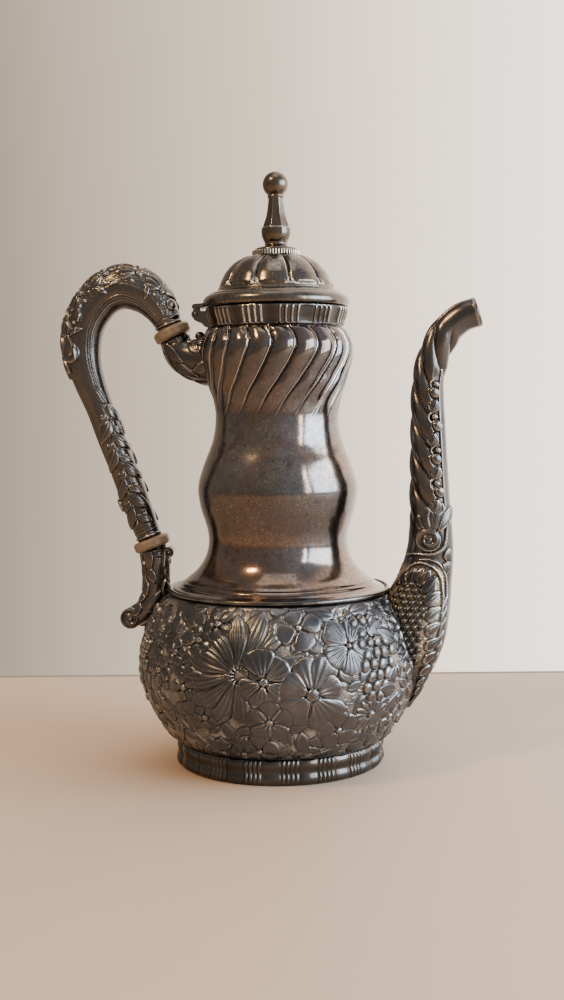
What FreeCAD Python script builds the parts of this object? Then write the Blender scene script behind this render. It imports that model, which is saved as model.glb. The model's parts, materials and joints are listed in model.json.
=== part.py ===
import FreeCAD, Part
import math
import os

# Spiral-fluted coffee pot in millimetres. Z is up, the foot rests on Z = 0, the spout points
# along +X and the handle along -X. Profiles are lists of (radius, height).

os.makedirs("parts", exist_ok=True)
Vector = FreeCAD.Vector
UP = Vector(0, 0, 1)
ACROSS = Vector(0, 1, 0)

WALL = 1.2

# Foot and bowl
FOOT_HEIGHT = 10.8
FOOT_OUTER = [(44.0, 0.0), (44.9, 1.0), (45.0, 2.6), (44.3, 5.4), (44.9, 8.3), (44.4, FOOT_HEIGHT)]
FOOT_INNER = [(42.6, FOOT_HEIGHT), (42.9, 5.4), (42.6, 1.4), (41.6, 1.2), (41.6, 0.0)]
FOOT_GROUPS = 18
FOOT_GROUP_START = 3.0
FOOT_REEDS = 4
FOOT_REED_PITCH = 2.45
FOOT_REED_RADIUS = 0.7
FOOT_REED_CIRCLE = 44.5
FOOT_REED_HEIGHTS = (0.5, 10.1)
BOWL_OUTER = [
    (41.8, 10.2), (44.6, 10.8), (47.2, 12.2), (50.6, 15.5), (53.2, 20.1), (55.4, 24.6),
    (57.4, 29.1), (59.2, 33.6), (60.2, 40.0), (60.5, 45.9), (59.8, 51.0), (58.0, 57.6),
    (54.2, 66.0), (50.8, 71.2), (48.2, 73.8), (46.2, 74.5), (44.2, 74.7),
]
BASE_RADIUS = 41.8
BASE_RIM_Z = 10.2
BASE_RISE = 1.6
STRAINER_HOLE = 1.4
STRAINER_ROWS = [(46.0, 4), (52.0, 5), (58.0, 4)]
STRAINER_PITCH = 6.0

# Neck, bead and mouth band
NECK_OUTER = [
    (46.4, 75.5), (43.7, 76.8), (41.1, 79.0), (35.9, 83.3), (32.7, 87.6), (30.9, 92.0), (30.3, 96.3),
    (30.7, 100.7), (31.9, 105.1), (33.3, 109.4), (34.2, 113.8), (34.7, 118.1), (34.2, 122.4),
    (32.9, 126.8), (31.4, 131.1), (29.6, 135.4), (28.1, 139.7), (27.2, 144.0), (26.8, 148.3),
    (26.8, 152.6), (27.3, 156.9), (28.6, 161.2), (29.3, 163.6), (30.1, 167.6), (31.4, 171.9),
    (32.4, 176.2), (32.2, 180.4), (30.3, 184.7), (28.6, 187.3),
]
MOUTH_RADIUS = 27.6
MOUTH_START = 188.0
MOUTH_TOP = 196.4
FLUTES = 20
FLUTE_RADIUS = 2.4
FLUTE_DEPTH = 0.8
FLUTE_PATH = [
    (0.0, 186.6), (3.4, 184.6), (5.0, 182.0), (4.6, 179.0), (2.5, 176.0), (-0.8, 172.2), (-5.0, 168.5),
    (-10.0, 164.5), (-15.0, 161.0), (-20.5, 157.0), (-26.0, 153.0),
]
BEAD_CENTRE = (47.1, 75.5)
BEAD_RADIUS = 1.1
BAND_OUTER = [(28.3, 188.1), (28.8, 191.1), (29.6, 193.2), (30.1, 195.3), (30.2, MOUTH_TOP)]
BAND_GROUPS = 12
BAND_GROUP_START = 18.0
BAND_REEDS = 4
BAND_REED_PITCH = 5.0
BAND_REED_RADIUS = 0.55
BAND_REED_LINE = [(28.4, 188.7), (30.1, 195.9)]

# Lid
DOME_TOP = 218.1
DOME_OUTER = [
    (10.6, DOME_TOP), (12.6, 217.6), (15.4, 216.2), (18.1, 214.5), (20.2, 212.4), (21.8, 210.3),
    (22.9, 208.1), (23.8, 206.0), (24.4, 203.5),
]
DOME_LOBES = 10
DOME_GROOVE_START = 4.0
DOME_GROOVE_RADIUS = 1.5
DOME_GROOVE_DEPTH = 0.5
FLANGE_OUTER = [
    (24.4, 204.1), (27.0, 202.9), (29.3, 201.6), (30.9, 200.0), (31.6, 198.4), (31.4, 197.2), (30.9, 196.7),
]
FLANGE_INNER = [(29.9, 196.7), (29.8, 198.2), (28.6, 200.0), (26.0, 201.5), (23.1, 202.3)]
DOME_SEAT_Z = 203.5
BEZEL_INNER = 23.2
BEZEL_OUTER = 24.4
BEZEL_BOTTOM = 193.8
BEZEL_PLATE = (196.7, 197.5)
COLLAR_RADIUS = 10.3
COLLAR_HEIGHTS = (DOME_TOP, 220.6)
COLLAR_TEETH = 48
COLLAR_TOOTH_GAP = 0.35
COLLAR_CHAMFER = 0.3
STUD_RADIUS = 2.0
STUD_HEIGHTS = (211.4, 229.0)
STUD_CLEARANCE = 0.1
WASHER_RADIUS = 5.5
WASHER_THICK = 1.0
NUT_ACROSS_FLATS = 7.0
NUT_THICK = 3.0
FINIAL_FOOT = [
    (9.1, 220.6), (9.0, 221.0), (7.3, 221.8), (5.3, 222.6), (4.8, 223.5), (5.7, 225.2), (6.3, 226.8),
    (6.5, 228.5), (6.2, 230.2),
]
FINIAL_STEM = [
    (6.1, 230.2), (5.6, 231.9), (4.8, 233.6), (4.4, 235.3), (3.9, 237.8), (3.5, 240.3), (3.3, 243.6),
]
BALL_RADIUS = 5.5
BALL_Z = 248.5
FINIAL_NECK = (3.2, 243.6)
FINIAL_SOCKET_START = 220.0

# Hinge
HINGE_X = -34.2
HINGE_Z = 193.8
KNUCKLE_RADIUS = 1.9
PIN_RADIUS = 0.9
PIN_CLEARANCE = 0.05
LID_KNUCKLE_HALF = 2.3
KNUCKLE_GAP = 0.2
HINGE_HALF_WIDTH = 6.2
HINGE_BORE_HALF = 10.0
# Outlines of the hinge plates as (x, z)
LID_WEB = [(-36.1, HINGE_Z), (-36.1, 197.2), (-33.0, 197.2), (-33.0, HINGE_Z + 1.0)]
LID_STRAP = [(-36.1, 196.6), (-36.1, 197.6), (-35.4, 198.3), (-29.5, 198.8), (-29.5, 196.8)]
LID_STRAP_HALF = 5.0
BODY_WEB = [
    (-36.0, HINGE_Z), (-34.9, 191.4), (-33.4, 190.6), (-31.8, 190.0), (-30.2, 188.4), (-27.4, 187.6),
    (-27.4, 195.2), (-33.4, 195.2),
]

# Handle. Each station is (x, z, half width in the plane, half width across).
GRIP_STATIONS = [
    (-46.9, 188.5, 5.4, 5.4), (-48.6, 192.8, 6.4, 6.0), (-52.4, 198.6, 7.6, 7.0), (-58.4, 203.8, 8.8, 7.6),
    (-66.8, 206.2, 9.2, 7.8), (-74.4, 203.8, 9.2, 7.8), (-80.7, 197.6, 9.1, 7.8), (-85.0, 189.6, 9.0, 7.6),
    (-86.2, 181.0, 8.6, 7.4), (-85.2, 172.4, 7.8, 7.2), (-82.8, 164.6, 6.9, 6.8), (-78.9, 154.6, 6.1, 6.4),
    (-73.7, 140.4, 6.0, 6.3), (-68.3, 126.8, 6.0, 6.3), (-63.4, 113.4, 6.1, 6.3), (-59.9, 103.6, 5.8, 6.0),
    (-57.2, 96.5, 5.4, 5.4),
]
GRIP_WALL = 1.5
INSULATOR_RADIUS = 8.2
INSULATOR_ROUND = 1.5
UPPER_INSULATOR = (-45.9, 186.3, 0.411, -0.912, 4.8)
LOWER_INSULATOR = (-56.4, 94.4, 0.358, -0.934, 4.6)
TENON_RADIUS = 3.9
TENON_LENGTH = 6.0
CROSS_PIN_RADIUS = 0.7
CROSS_PIN_HALF = 5.4
CROSS_PIN_OFFSET = 3.4
UPPER_SOCKET_STATIONS = [
    (-44.91, 184.11, 5.4, 5.4), (-43.6, 180.6, 5.9, 5.8), (-41.0, 177.3, 7.0, 6.6),
    (-36.6, 175.2, 8.6, 7.6), (-31.5, 174.6, 9.9, 8.6), (-26.0, 174.6, 10.4, 9.0),
]
UPPER_SOCKET_BALL = (-33.6, 184.6, 2.2)
LOWER_SOCKET_STATIONS = [
    (-55.58, 92.25, 5.4, 5.4), (-54.9, 88.2, 5.6, 5.6), (-54.8, 81.0, 5.2, 5.4), (-55.2, 74.0, 4.9, 5.4),
    (-56.7, 68.2, 5.0, 5.6), (-59.8, 63.8, 4.7, 5.4), (-64.0, 61.6, 4.2, 5.0),
]
SOCKET_SCROLL = (-65.6, 61.4, 4.6, 5.4)
SOCKET_CURL = (-48.4, 90.6, 2.3, 3.4)

# Spout. Each station is (x, z, half width in the plane, half width across).
SPOUT_BASE_STATIONS = [
    (55.2, 23.8, 1.8, 1.6), (56.9, 29.0, 3.6, 4.6), (56.6, 35.0, 7.0, 9.0), (56.2, 44.5, 12.4, 14.6),
    (56.6, 53.0, 15.2, 17.2), (57.6, 62.0, 15.9, 16.8), (60.0, 71.0, 14.4, 14.4), (62.6, 79.0, 12.2, 11.4),
    (64.6, 86.0, 10.7, 9.4),
]
SPOUT_TUBE_STATIONS = [
    (65.5, 92.0, 10.0, 8.9), (65.8, 100.4, 9.3, 8.6), (65.7, 109.7, 8.6, 8.2), (65.4, 119.1, 8.2, 8.0),
    (65.2, 127.3, 7.9, 7.8), (65.0, 135.1, 7.6, 7.5), (64.8, 146.6, 7.2, 7.2), (64.6, 155.7, 6.9, 7.0),
    (64.8, 163.7, 6.6, 6.7), (65.9, 170.9, 6.4, 6.5), (67.8, 177.0, 6.3, 6.4), (70.6, 182.6, 6.3, 6.3),
    (74.6, 187.6, 6.4, 6.2), (79.6, 191.3, 6.3, 6.1), (85.5, 193.2, 6.1, 6.0),
]
SPOUT_WALL = 1.5
SPOUT_RINGS = 44
PASSAGE_RINGS = 22
OVAL_POINTS = 24
TWIST_STRANDS = 4
TWIST_LEAD = 54.0
TWIST_HEIGHT = 0.5
TWIST_SPAN = (104.0, 186.0)
TWIST_FADE = 6.0


def spline(points):
    curve = Part.BSplineCurve()
    curve.interpolate(points)
    return curve


def chain_edges(chains):
    """Edges of a closed outline: each chain longer than two points is a smooth curve."""
    edges = []
    for index, chain in enumerate(chains):
        points = [Vector(r, 0, z) for r, z in chain]
        if len(points) > 2:
            edges.append(spline(points).toShape())
        elif len(points) == 2:
            edges.append(Part.makeLine(points[0], points[1]))
        following = chains[(index + 1) % len(chains)][0]
        start = Vector(following[0], 0, following[1])
        if points[-1].distanceToPoint(start) > 1e-6:
            edges.append(Part.makeLine(points[-1], start))
    return edges


def turned(chains):
    """Solid turned about the pot's axis from a closed outline."""
    face = Part.Face(Part.Wire(Part.__sortEdges__(chain_edges(chains))))
    return face.revolve(Vector(0, 0, 0), UP, 360)


def turned_polygon(corners):
    face = Part.Face(Part.makePolygon([Vector(r, 0, z) for r, z in corners + corners[:1]]))
    return face.revolve(Vector(0, 0, 0), UP, 360)


def offset_inward(profile, wall):
    """The profile moved by one wall thickness to the side that is on the left of its travel."""
    curve = spline([Vector(r, 0, z) for r, z in profile])
    moved = []
    for r, z in profile:
        tangent = curve.tangent(curve.parameter(Vector(r, 0, z)))[0]
        moved.append((r - tangent.z * wall, z + tangent.x * wall))
    return moved


def around(shape, count, start=0.0):
    copies = []
    for index in range(count):
        copy = shape.copy()
        copy.rotate(Vector(0, 0, 0), UP, start + index * 360.0 / count)
        copies.append(copy)
    return copies


def rod(start, end, radius):
    direction = end - start
    return Part.makeCylinder(radius, direction.Length, start, direction)


def cross_rod(x, z, radius, half_length):
    return Part.makeCylinder(radius, 2 * half_length, Vector(x, -half_length, z), ACROSS)


def oval(centre, sideways, half_side, half_across, ripple=0.0, phase=0.0):
    """Closed oval around a centre, with optional lobes for a twisted rope."""
    corners = []
    for index in range(OVAL_POINTS):
        angle = 2 * math.pi * index / OVAL_POINTS
        swell = ripple * math.cos(TWIST_STRANDS * angle - phase)
        corners.append(
            centre
            + sideways * ((half_side + swell) * math.cos(angle))
            + ACROSS * ((half_across + swell) * math.sin(angle))
        )
    curve = Part.BSplineCurve()
    curve.interpolate(Points=corners, PeriodicFlag=True)
    return Part.Wire([curve.toShape()])


def sideways_at(path, parameter):
    tangent = path.tangent(parameter)[0]
    return Vector(tangent.z, 0, -tangent.x)


def swept(stations, shrink=0.0, flat_ends=None):
    """Solid lofted through ovals that stand across the line through the stations."""
    centres = [Vector(x, 0, z) for x, z, side, across in stations]
    path = spline(centres)
    rings = []
    for (x, z, side, across), centre in zip(stations, centres):
        sideways = sideways_at(path, path.parameter(centre))
        if flat_ends and centre in (centres[0], centres[-1]):
            direction = flat_ends[0] if centre == centres[0] else flat_ends[1]
            if direction:
                sideways = Vector(direction.z, 0, -direction.x)
        rings.append(oval(centre, sideways, side - shrink, across - shrink))
    return Part.makeLoft(rings, True, False)


def save(name, shape):
    solids = shape.Solids
    result = solids[0] if len(solids) == 1 else Part.makeCompound(solids)
    result.exportStep(f"parts/{name}.step")


# Foot and bowl


def foot_ring(bowl_form):
    ring = turned([FOOT_OUTER, FOOT_INNER])
    low, high = FOOT_REED_HEIGHTS
    reeds = []
    for group in range(FOOT_GROUPS):
        for index in range(FOOT_REEDS):
            offset = (index - (FOOT_REEDS - 1) / 2.0) * FOOT_REED_PITCH
            reed = rod(Vector(FOOT_REED_CIRCLE, 0, low), Vector(FOOT_REED_CIRCLE, 0, high), FOOT_REED_RADIUS)
            reed.rotate(Vector(0, 0, 0), UP, FOOT_GROUP_START + group * 360.0 / FOOT_GROUPS + offset)
            reeds.append(reed)
    return ring.fuse(reeds).cut(bowl_form)


def bowl_solid_form():
    """The bowl as a filled solid, used to trim everything that is soldered onto it."""
    return turned([BOWL_OUTER, [(0.0, 74.7), (0.0, 10.2)]])


def bowl():
    shell = turned([BOWL_OUTER, list(reversed(offset_inward(BOWL_OUTER, WALL)))])
    holes = []
    for height, count in STRAINER_ROWS:
        for index in range(count):
            y = (index - (count - 1) / 2.0) * STRAINER_PITCH
            holes.append(rod(Vector(50, y, height), Vector(70, y, height), STRAINER_HOLE))
    return shell.cut(holes)


def base_plate():
    middle = BASE_RIM_Z + 0.75 * BASE_RISE
    lower = [(0.0, BASE_RIM_Z + BASE_RISE), (BASE_RADIUS / 2, middle), (BASE_RADIUS, BASE_RIM_Z)]
    upper = [(r, z + WALL) for r, z in reversed(lower)]
    return turned([lower, upper])


# Neck and mouth


def neck():
    inner = list(reversed(offset_inward(NECK_OUTER, WALL)))
    inner_radius = MOUTH_RADIUS - WALL
    mouth_outer = [(MOUTH_RADIUS, MOUTH_START), (MOUTH_RADIUS, MOUTH_TOP)]
    mouth_inner = [(inner_radius, MOUTH_TOP), (inner_radius, 187.6)]
    shell = turned([NECK_OUTER, mouth_outer, mouth_inner, inner[1:]])
    return shell.cut(around(neck_flute(), FLUTES))


def neck_radius(height):
    """Radius of the neck's outer profile at a height, straight between the profile's points."""
    for (r0, z0), (r1, z1) in zip(NECK_OUTER, NECK_OUTER[1:]):
        if z0 <= height <= z1:
            return r0 + (r1 - r0) * (height - z0) / (z1 - z0)
    return NECK_OUTER[-1][0]


def neck_flute():
    """One spiral groove cutter that fades out of the neck's surface towards its lower end."""
    points = []
    for index, (turn, height) in enumerate(FLUTE_PATH):
        fade = index / (len(FLUTE_PATH) - 1.0)
        lift = FLUTE_RADIUS - FLUTE_DEPTH * (1.0 - fade)
        radius = neck_radius(height) + lift
        angle = math.radians(turn)
        points.append(Vector(radius * math.cos(angle), radius * math.sin(angle), height))
    path = spline(points)
    start = path.value(path.FirstParameter)
    direction = path.tangent(path.FirstParameter)[0]
    ring = Part.Wire([Part.makeCircle(FLUTE_RADIUS, start, direction)])
    return Part.Wire([path.toShape()]).makePipeShell([ring], True, False)


def shoulder_bead(neighbours):
    ring = Part.makeTorus(BEAD_CENTRE[0], BEAD_RADIUS, Vector(0, 0, BEAD_CENTRE[1]), UP)
    return ring.cut(neighbours)


def mouth_band():
    ring = turned([BAND_OUTER, [(MOUTH_RADIUS, MOUTH_TOP), (MOUTH_RADIUS, 188.1)]])
    start, end = [Vector(r, 0, z) for r, z in BAND_REED_LINE]
    reeds = []
    for group in range(BAND_GROUPS):
        for index in range(BAND_REEDS):
            offset = (index - (BAND_REEDS - 1) / 2.0) * BAND_REED_PITCH
            reed = rod(start, end, BAND_REED_RADIUS)
            reed.rotate(Vector(0, 0, 0), UP, BAND_GROUP_START + group * 360.0 / BAND_GROUPS + offset)
            reeds.append(reed)
    return ring.fuse(reeds)


# Lid


def lid_dome():
    inner = offset_inward(list(reversed(DOME_OUTER)), WALL)
    bore = STUD_RADIUS + STUD_CLEARANCE
    top = [(bore, DOME_TOP), (bore, DOME_TOP - WALL)]
    shell = turned([list(reversed(DOME_OUTER)), top, list(reversed(inner))])
    lifted = [
        Vector(r, 0, z)
        for r, z in offset_inward(DOME_OUTER, DOME_GROOVE_RADIUS - DOME_GROOVE_DEPTH)
    ]
    path = spline(lifted)
    direction = path.tangent(path.FirstParameter)[0]
    ring = Part.Wire([Part.makeCircle(DOME_GROOVE_RADIUS, lifted[0], direction)])
    groove = Part.Wire([path.toShape()]).makePipeShell([ring], True, False)
    return shell.cut(around(groove, DOME_LOBES, DOME_GROOVE_START))


def lid_flange():
    seat = [(23.1, DOME_SEAT_Z), (24.4, DOME_SEAT_Z)]
    return turned([FLANGE_OUTER, FLANGE_INNER, seat])


def lid_bezel():
    bottom, top = BEZEL_PLATE
    return turned_polygon([
        (BEZEL_INNER, BEZEL_BOTTOM),
        (BEZEL_OUTER - 0.5, BEZEL_BOTTOM),
        (BEZEL_OUTER, BEZEL_BOTTOM + 0.6),
        (BEZEL_OUTER, bottom),
        (29.9, bottom),
        (29.9, top),
        (BEZEL_INNER, top),
    ])


def milled_collar():
    low, high = COLLAR_HEIGHTS
    bore = STUD_RADIUS
    rim = COLLAR_RADIUS - COLLAR_CHAMFER
    disc = turned_polygon([(bore, low), (rim, low), (COLLAR_RADIUS, low + COLLAR_CHAMFER),
                           (COLLAR_RADIUS, high - COLLAR_CHAMFER), (rim, high), (bore, high)])
    tooth_gap = Part.makeCylinder(COLLAR_TOOTH_GAP, high - low + 2, Vector(COLLAR_RADIUS + 0.05, 0, low - 1))
    return disc.cut(around(tooth_gap, COLLAR_TEETH))


def finial():
    foot = turned([[(0.0, FINIAL_FOOT[0][1])], FINIAL_FOOT, [(0.0, FINIAL_FOOT[-1][1])]])
    rings = []
    for radius, height in FINIAL_STEM:
        corners = []
        for index in range(8):
            angle = math.radians(22.5 + 45.0 * index)
            corners.append(Vector(radius * math.cos(angle), radius * math.sin(angle), height))
        rings.append(Part.makePolygon(corners + corners[:1]))
    stem = Part.makeLoft(rings, True, True)
    ball = Part.makeSphere(BALL_RADIUS, Vector(0, 0, BALL_Z))
    neck_ring = Part.makeCylinder(FINIAL_NECK[0], 1.6, Vector(0, 0, FINIAL_NECK[1] - 0.4))
    socket = rod(Vector(0, 0, FINIAL_SOCKET_START), Vector(0, 0, STUD_HEIGHTS[1]), STUD_RADIUS)
    return foot.fuse([stem, ball, neck_ring]).cut(socket).removeSplitter()


def finial_fixings():
    """The stud, the washer and the nut that hold the knob from inside the dome."""
    low, high = STUD_HEIGHTS
    stud = Part.makeCylinder(STUD_RADIUS, high - low, Vector(0, 0, low))
    washer_top = DOME_TOP - WALL
    washer = Part.makeCylinder(WASHER_RADIUS, WASHER_THICK, Vector(0, 0, washer_top - WASHER_THICK)).cut(stud)
    nut_top = washer_top - WASHER_THICK
    corner = NUT_ACROSS_FLATS / math.sqrt(3)
    corners = []
    for index in range(6):
        angle = math.radians(60.0 * index)
        corners.append(Vector(corner * math.cos(angle), corner * math.sin(angle), nut_top - NUT_THICK))
    nut = Part.Face(Part.makePolygon(corners + corners[:1])).extrude(UP * NUT_THICK).cut(stud)
    return stud, washer, nut


# Hinge


def hinge_plate(corners, half_width):
    outline = Part.makePolygon([Vector(x, -half_width, z) for x, z in corners + corners[:1]])
    return Part.Face(outline).extrude(ACROSS * (2 * half_width))


def hinge_lid_leaf(flange_form):
    knuckle = cross_rod(HINGE_X, HINGE_Z, KNUCKLE_RADIUS, LID_KNUCKLE_HALF)
    web = hinge_plate(LID_WEB, LID_KNUCKLE_HALF)
    strap = hinge_plate(LID_STRAP, LID_STRAP_HALF)
    bore = cross_rod(HINGE_X, HINGE_Z, PIN_RADIUS + PIN_CLEARANCE, HINGE_BORE_HALF)
    return knuckle.fuse([web, strap]).cut([bore, flange_form]).removeSplitter()


def hinge_body_leaf(neck_form):
    knuckles = cross_rod(HINGE_X, HINGE_Z, KNUCKLE_RADIUS, HINGE_HALF_WIDTH)
    web = hinge_plate(BODY_WEB, HINGE_HALF_WIDTH)
    half = LID_KNUCKLE_HALF + KNUCKLE_GAP
    gap = cross_rod(HINGE_X, HINGE_Z, KNUCKLE_RADIUS + 0.5, half)
    slot = Part.makeBox(6.0, 2 * half, 8.0, Vector(HINGE_X - 4.0, -half, HINGE_Z - 0.6))
    bore = cross_rod(HINGE_X, HINGE_Z, PIN_RADIUS, HINGE_BORE_HALF)
    return knuckles.fuse(web).cut([gap, slot, bore, neck_form]).removeSplitter()


# Handle


def insulator(x, z, dx, dz, thick):
    """A disc with rounded edges and a tenon on each face, along the direction (dx, dz)."""
    disc = Part.makeCylinder(INSULATOR_RADIUS, thick, Vector(0, 0, -thick / 2.0))
    rims = [edge for edge in disc.Edges if isinstance(edge.Curve, Part.Circle)]
    disc = disc.makeFillet(INSULATOR_ROUND, rims)
    half = thick / 2.0 + TENON_LENGTH
    body = disc.fuse(Part.makeCylinder(TENON_RADIUS, 2 * half, Vector(0, 0, -half)))
    body.Placement = FreeCAD.Placement(Vector(x, 0, z), FreeCAD.Rotation(UP, Vector(dx, 0, dz)))
    return body


def tenon_bores(places):
    """Cylinders a little longer than the tenons, for the hollow metal ends around them."""
    bores = []
    for x, z, dx, dz, thick in places:
        direction = Vector(dx, 0, dz).normalize()
        reach = direction * (thick / 2.0 + TENON_LENGTH + 0.3)
        centre = Vector(x, 0, z)
        bores.append(rod(centre - reach, centre + reach, TENON_RADIUS))
    return bores


def cross_pins(places):
    pins = []
    for x, z, dx, dz, thick in places:
        direction = Vector(dx, 0, dz).normalize()
        for side in (-1, 1):
            spot = Vector(x, 0, z) + direction * (side * (thick / 2.0 + CROSS_PIN_OFFSET))
            pins.append(cross_rod(spot.x, spot.z, CROSS_PIN_RADIUS, CROSS_PIN_HALF))
    return pins


def handle_grip(discs, bores, pins):
    starts = Vector(-UPPER_INSULATOR[2], 0, -UPPER_INSULATOR[3])
    ends = Vector(LOWER_INSULATOR[2], 0, LOWER_INSULATOR[3])
    outer = swept(GRIP_STATIONS, 0.0, (starts, ends))
    hollow = swept(GRIP_STATIONS[1:-1], GRIP_WALL)
    return outer.cut(hollow).cut(discs).cut(bores).cut(pins)


def upper_socket(neck_form, bores, pins):
    starts = Vector(UPPER_INSULATOR[2], 0, UPPER_INSULATOR[3])
    body = swept(UPPER_SOCKET_STATIONS, 0.0, (starts, Vector(1, 0, 0)))
    x, z, radius = UPPER_SOCKET_BALL
    ball = Part.makeSphere(radius, Vector(x, 0, z))
    return body.fuse(ball).cut([neck_form] + bores + pins)


def lower_socket(bowl_form, bores, pins):
    starts = Vector(LOWER_INSULATOR[2], 0, LOWER_INSULATOR[3])
    body = swept(LOWER_SOCKET_STATIONS, 0.0, (starts, None))
    x, z, radius, half = SOCKET_SCROLL
    scroll = cross_rod(x, z, radius, half)
    x, z, radius, half = SOCKET_CURL
    curl = cross_rod(x, z, radius, half)
    return body.fuse([scroll, curl]).cut([bowl_form] + bores + pins)


# Spout


def spout_rings(shrink, rippled):
    """Rings that lie flat at the base and stand across the tube above it."""
    count = SPOUT_RINGS if rippled else PASSAGE_RINGS
    rings = []
    for x, z, side, across in SPOUT_BASE_STATIONS:
        side = max(side - shrink, 0.3)
        across = max(across - shrink, 0.3)
        rings.append(oval(Vector(x, 0, z), Vector(1, 0, 0), side, across))
    stations = SPOUT_BASE_STATIONS[-1:] + SPOUT_TUBE_STATIONS
    path = spline([Vector(x, 0, z) for x, z, side, across in stations])
    half_widths = spline([Vector(side, across, index) for index, (x, z, side, across) in enumerate(stations)])
    for index in range(1, count + 1):
        share = index / float(count)
        parameter = path.FirstParameter + share * (path.LastParameter - path.FirstParameter)
        centre = path.value(parameter)
        span = half_widths.LastParameter - half_widths.FirstParameter
        width = half_widths.value(half_widths.FirstParameter + share * span)
        low, high = TWIST_SPAN
        inside = min(1.0, (centre.z - low) / TWIST_FADE, (high - centre.z) / TWIST_FADE)
        blend = max(0.0, inside) if rippled else 0.0
        phase = -2 * math.pi * TWIST_STRANDS * centre.z / TWIST_LEAD
        rings.append(oval(centre, sideways_at(path, parameter), width.x - shrink, width.y - shrink,
                          TWIST_HEIGHT * blend, phase))
    return rings


def spout_halves(bowl_form):
    outer = Part.makeLoft(spout_rings(0.0, True), True, False)
    passage = Part.makeLoft(spout_rings(SPOUT_WALL, False), True, False)
    tip = Part.Face(spout_rings(SPOUT_WALL, False)[-1])
    exit_way = tip.extrude(Vector(4, 0, 1.2))
    whole = outer.cut([passage, exit_way, bowl_form])
    halves = []
    for low in (-60.0, 0.0):
        side = Part.makeBox(80.0, 60.0, 260.0, Vector(30.0, low, 0.0))
        halves.append(whole.common(side))
    return halves


def build():
    bowl_form = bowl_solid_form()
    bowl_shell = bowl()
    neck_shell = neck().cut(bowl_form)
    mouth_outer = [(MOUTH_RADIUS, MOUTH_START), (MOUTH_RADIUS, MOUTH_TOP)]
    neck_form = turned([NECK_OUTER, mouth_outer, [(0.0, MOUTH_TOP), (0.0, 75.5)]])
    band = mouth_band()
    flange = lid_flange()
    stud, washer, nut = finial_fixings()
    places = [UPPER_INSULATOR, LOWER_INSULATOR]
    bores = tenon_bores(places)
    pins = cross_pins(places)
    discs = [insulator(*place) for place in places]
    flange_form = turned([FLANGE_OUTER, [(0.0, 196.7), (0.0, 204.1)]])
    right, left = spout_halves(bowl_form)
    save("foot_ring", foot_ring(bowl_form))
    save("base_plate", base_plate().cut(bowl_shell))
    save("bowl", bowl_shell)
    save("shoulder_bead", shoulder_bead([bowl_shell, neck_shell, left, right]))
    save("neck", neck_shell)
    save("mouth_band", band)
    save("lid_dome", lid_dome().cut(flange))
    save("lid_flange", flange)
    save("lid_bezel", lid_bezel())
    save("milled_collar", milled_collar())
    save("finial", finial())
    save("finial_stud", stud)
    save("finial_washer", washer)
    save("finial_nut", nut)
    save("hinge_lid_leaf", hinge_lid_leaf(flange_form))
    save("hinge_body_leaf", hinge_body_leaf(neck_form.fuse(band)))
    save("hinge_pin", cross_rod(HINGE_X, HINGE_Z, PIN_RADIUS, HINGE_HALF_WIDTH + 0.4))
    save("upper_insulator", discs[0].cut(pins))
    save("lower_insulator", discs[1].cut(pins))
    save("insulator_pins", Part.makeCompound(pins))
    save("handle_grip", handle_grip(discs, bores, pins))
    save("upper_socket", upper_socket(neck_form, bores, pins).cut(discs))
    save("lower_socket", lower_socket(bowl_form, bores, pins).cut(discs))
    save("spout_left", left)
    save("spout_right", right)


build()
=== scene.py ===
import json
import math

import bmesh
import bpy
import numpy as np
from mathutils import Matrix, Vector

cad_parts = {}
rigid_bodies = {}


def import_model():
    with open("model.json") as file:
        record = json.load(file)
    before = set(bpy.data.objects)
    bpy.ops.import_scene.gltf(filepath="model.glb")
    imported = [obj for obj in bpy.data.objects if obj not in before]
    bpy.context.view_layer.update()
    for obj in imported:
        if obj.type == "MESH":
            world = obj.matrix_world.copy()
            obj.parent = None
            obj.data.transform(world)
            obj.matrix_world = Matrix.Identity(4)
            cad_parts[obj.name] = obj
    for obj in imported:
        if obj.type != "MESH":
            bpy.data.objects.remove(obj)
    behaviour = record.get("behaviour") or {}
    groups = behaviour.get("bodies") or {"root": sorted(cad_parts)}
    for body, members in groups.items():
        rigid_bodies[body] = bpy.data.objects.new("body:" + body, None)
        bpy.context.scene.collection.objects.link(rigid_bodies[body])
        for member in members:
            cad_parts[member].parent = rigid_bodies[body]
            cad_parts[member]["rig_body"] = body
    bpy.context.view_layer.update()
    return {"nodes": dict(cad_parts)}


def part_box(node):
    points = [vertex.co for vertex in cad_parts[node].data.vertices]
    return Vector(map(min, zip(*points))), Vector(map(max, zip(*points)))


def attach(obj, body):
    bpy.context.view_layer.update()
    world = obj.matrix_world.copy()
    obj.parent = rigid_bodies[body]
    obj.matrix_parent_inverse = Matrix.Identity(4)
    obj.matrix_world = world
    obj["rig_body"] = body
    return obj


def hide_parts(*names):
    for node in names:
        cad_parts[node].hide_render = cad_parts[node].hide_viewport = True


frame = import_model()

# Shapes are worked out in millimetres in the CAD frame and turned into metres when a mesh is made.
# A relief is a lift in millimetres along the surface normal. Every vertex also carries a "tone":
# 0 is a dark recess, 0.5 is plain metal and 1 is a worn edge. On the neck's flutes and in the groove
# beside the spout the tone also holds painted highlights and painted shade.

MM = 0.001
TURN = 2 * math.pi
PLAIN_TONE = 0.5
INSIDE_TONE = 0.35
rng = np.random.default_rng(7)


def node_box(name):
    """Lowest and highest corner of a CAD node in millimetres."""
    low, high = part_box(name)
    return np.array(low) / MM, np.array(high) / MM


# ---------------------------------------------------------------- curves and numbers


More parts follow.
